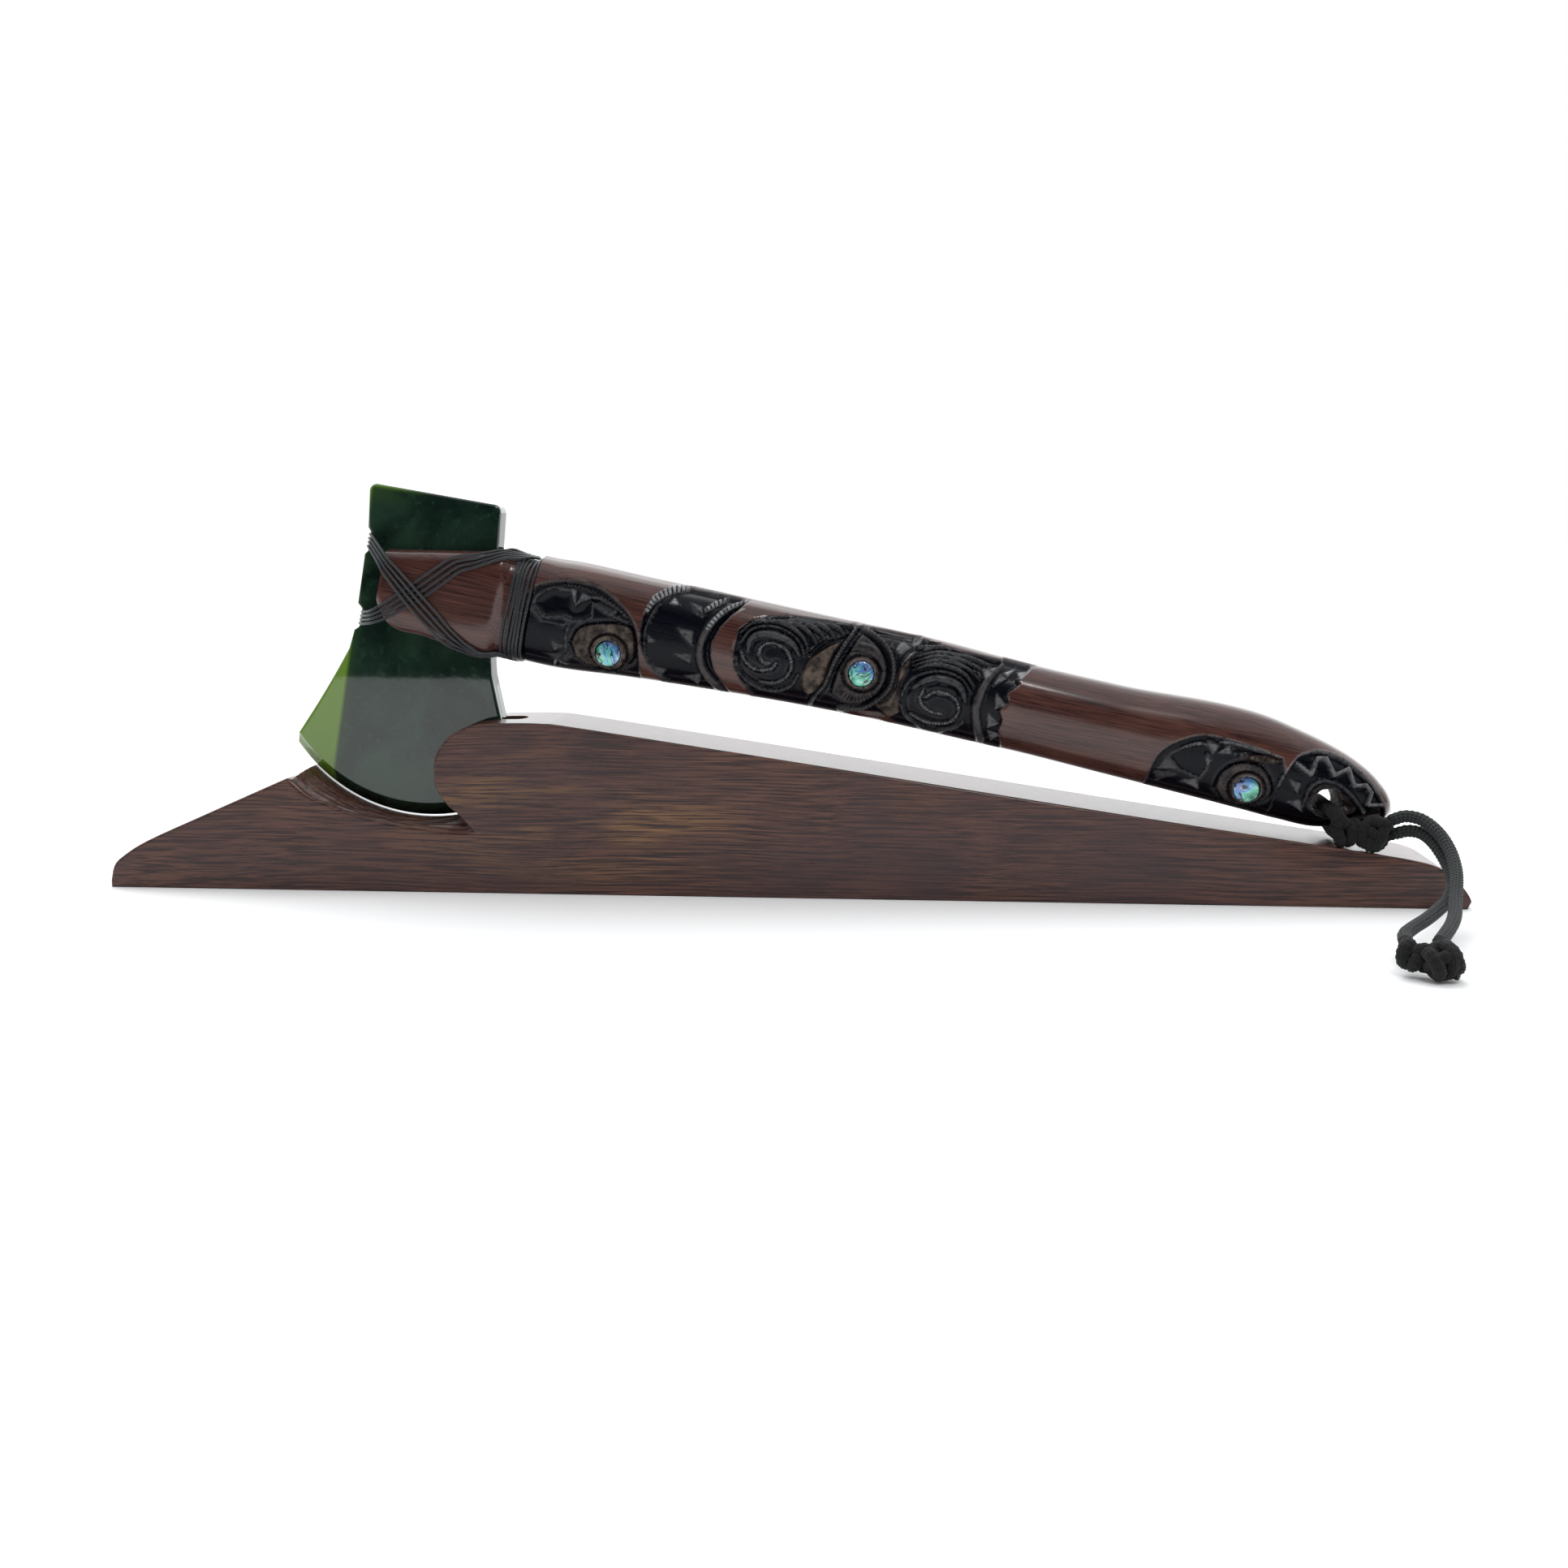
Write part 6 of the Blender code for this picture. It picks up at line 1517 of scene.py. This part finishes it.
def hitch_turn(lean):
    """The path of one turn of cord through the lanyard hole and round the butt's lower corner."""
    away = Vector((math.cos(math.radians(lean)), 0.0, math.sin(math.radians(lean))))
    hole = Vector((HOLE[0], 0.0, HOLE[1]))
    mouth = front_depth(HOLE[0], HOLE[1])
    clear = CORD / 2 + 0.3
    inside = HOLE[2] - clear + 0.3
    edge = edge_reach(away)
    wall = edge - HOLE[2]
    front = [
        (inside - 0.6, mouth - 2.0),
        (inside, mouth + 0.6 * clear),
        (HOLE[2] + 0.1 * wall, mouth + 1.1 * clear),
        (HOLE[2] + 0.5 * wall, mouth + 0.3 * clear),
        (HOLE[2] + 0.95 * wall, 0.78 * mouth),
        (edge + clear, 0.42 * mouth),
    ]
    half_loop = [(edge + 1.1 * clear, 0.0)] + front[::-1] + [(inside - 0.6, 0.0)]
    loop = [(reach, -depth) for reach, depth in half_loop] + front
    return [hole + away * reach + Vector((0.0, depth, 0.0)) for reach, depth in loop]


def closed_line(points, step):
    """A closed smooth line through a few points."""
    ring = [tuple(p) for p in points]
    line = smooth(ring[-3:] + ring + ring[:3], step)
    start = min(range(len(line)), key=lambda k: (Vector(line[k]) - Vector(ring[0])).length)
    later = [k for k in range(len(line)) if k > start + 8]
    end = min(later, key=lambda k: (Vector(line[k]) - Vector(ring[0])).length)
    return [Vector(p) for p in line[start:end]]


def wraps(centre, axis, count, reach, pitch, slant):
    """Turns of cord side by side round an axis, each a little askew, as in a knot drawn tight."""
    axis = Vector(axis).normalized()
    side = axis.orthogonal().normalized()
    lines = []
    for k in range(count):
        place = k - (count - 1) / 2
        askew = Matrix.Rotation(slant * (1 if k % 2 else -1), 3, side)
        size = reach * (1 - 0.10 * abs(place))
        ring = []
        for m in range(40):
            turned = Matrix.Rotation(2 * math.pi * m / 40, 3, axis) @ side
            ring.append(Vector(centre) + axis * place * pitch + (askew @ turned) * size)
        lines.append(ring)
    return lines


def short_end(*points):
    """An open line of cord through a few points."""
    return [Vector(place) * MM for place in smooth(points, 0.6)], False


woven_cord = cord_material("woven_cord", (0.0035, 0.0040, 0.0042), (0.036, 0.043, 0.044), 0.70, 0.15, 0.7)
knotted_cord = cord_material("knotted_cord", (0.0012, 0.0013, 0.0016), (0.0075, 0.0080, 0.0092), 0.78, 0.08,
                             0.8)
hitch_rings = [closed_line(hitch_turn(lean), 0.8) for lean in HITCH_LEANS]
for place, axis, count, reach, pitch, slant in (
    (HITCH_BALL, (0.25, 0.1, 1.0), 3, 3.0, 3.5, 0.24),
    (HITCH_BALL, (0.5, -1.0, 0.2), 1, 4.4, 0.0, 0.0),
    (HITCH_BALL, (1.0, 0.4, -0.3), 1, 3.9, 0.0, 0.0),
    (HITCH_LOBE, (1.0, 0.1, 0.4), 3, 3.0, 3.2, 0.25),
):
    hitch_rings += wraps(place, axis, count, reach, pitch, slant)
hitch_lines = [([IN_THE_STAND @ (place * MM) for place in ring], True) for ring in hitch_rings]
hitch_lines += [
    short_end((198.0, -15.4, 24.6), (200.8, -15.2, 27.0), (203.9, -15.1, 29.1)),
    short_end((198.6, -14.8, 23.0), (202.0, -14.3, 23.4), (205.6, -14.1, 24.4)),
]
hitch = cord_piece("butt_hitch", hitch_lines, knotted_cord, HITCH_CORD * MM, **KNOT_WEAVE)
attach(hitch, "root")
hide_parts("wrist_cord_hitch")


# Wrist cord
# A loop of soft braided cord, four millimetres thick. Its two halves leave the hitch, fall over the tail of
# the stand and lie on the floor, where a knot with a short end joins them.

KNOT_CORD = 3.9
CORD_WEAVE = {"sides": 60, "step": 0.00028, "bumps": 12, "bump_length": 0.0016, "relief": 0.00045}
RIGHT_HALF = (
    (203.6, -15.0, 28.9), (207.5, -16.2, 30.4), (211.6, -19.0, 30.0), (214.6, -23.5, 28.0),
    (216.6, -29.0, 25.0), (217.3, -36.0, 21.3), (216.3, -45.0, 17.4), (213.9, -54.0, 14.2),
    (211.0, -63.5, 11.9), (208.0, -74.0, 10.6), (204.0, -85.0, 10.0), (199.5, -95.0, 9.4),
    (195.9, -102.2, 8.8),
)
LEFT_HALF = (
    (205.2, -14.0, 24.2), (209.0, -15.2, 25.4), (212.6, -18.5, 25.1), (215.2, -24.0, 22.6),
    (217.0, -32.0, 17.9), (216.2, -42.0, 13.9), (212.5, -51.0, 10.4), (207.0, -60.0, 8.8),
    (200.5, -71.0, 8.2), (194.0, -82.0, 8.2), (189.0, -92.0, 8.3), (187.0, -100.9, 8.3),
)
RIGHT_LOBE = (194.0, -112.4, 5.95)
LEFT_LOBE = (186.9, -108.2, 6.2)
KNOT_MIDDLE = (190.4, -110.4, 6.0)

knot_rings = []
for place, axis, count, reach, pitch, slant in (
    (RIGHT_LOBE, (1.0, 0.35, 0.25), 3, 3.7, 3.0, 0.30),
    (LEFT_LOBE, (0.9, -0.5, -0.3), 2, 2.7, 3.0, 0.3),
    (RIGHT_LOBE, (0.3, 0.9, -0.3), 1, 3.7, 0.0, 0.0),
    (RIGHT_LOBE, (-0.4, 0.5, 0.9), 1, 3.5, 0.0, 0.0),
    (KNOT_MIDDLE, (0.4, 0.8, 0.5), 1, 3.2, 0.0, 0.0),
):
    knot_rings += wraps(place, axis, count, reach, pitch, slant)
knot_lines = [([place * MM for place in ring], True) for ring in knot_rings]
knot_lines += [
    short_end((195.9, -101.8, 8.85), (195.8, -105.5, 8.2), (195.0, -109.5, 6.8), (193.5, -112.0, 5.8)),
    short_end((187.0, -100.5, 8.3), (186.8, -104.0, 7.9), (187.4, -107.4, 6.8), (190.5, -110.4, 6.0)),
    short_end((195.4, -112.6, 3.2), (197.0, -113.8, 3.0), (198.3, -114.6, 2.9)),
]
end_knot = cord_piece("wrist_knot", knot_lines, knotted_cord, KNOT_CORD * MM, **KNOT_WEAVE)
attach(end_knot, "root")
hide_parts("wrist_cord_knot")

for half_name, route in (("right", RIGHT_HALF), ("left", LEFT_HALF)):
    path = [Vector(place) * MM for place in smooth(route, 1.0)]
    half = cord_piece(f"wrist_loop_{half_name}", [(path, False)], woven_cord, CORD * MM, **CORD_WEAVE)
    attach(half, "root")
    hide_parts(f"wrist_cord_{half_name}")
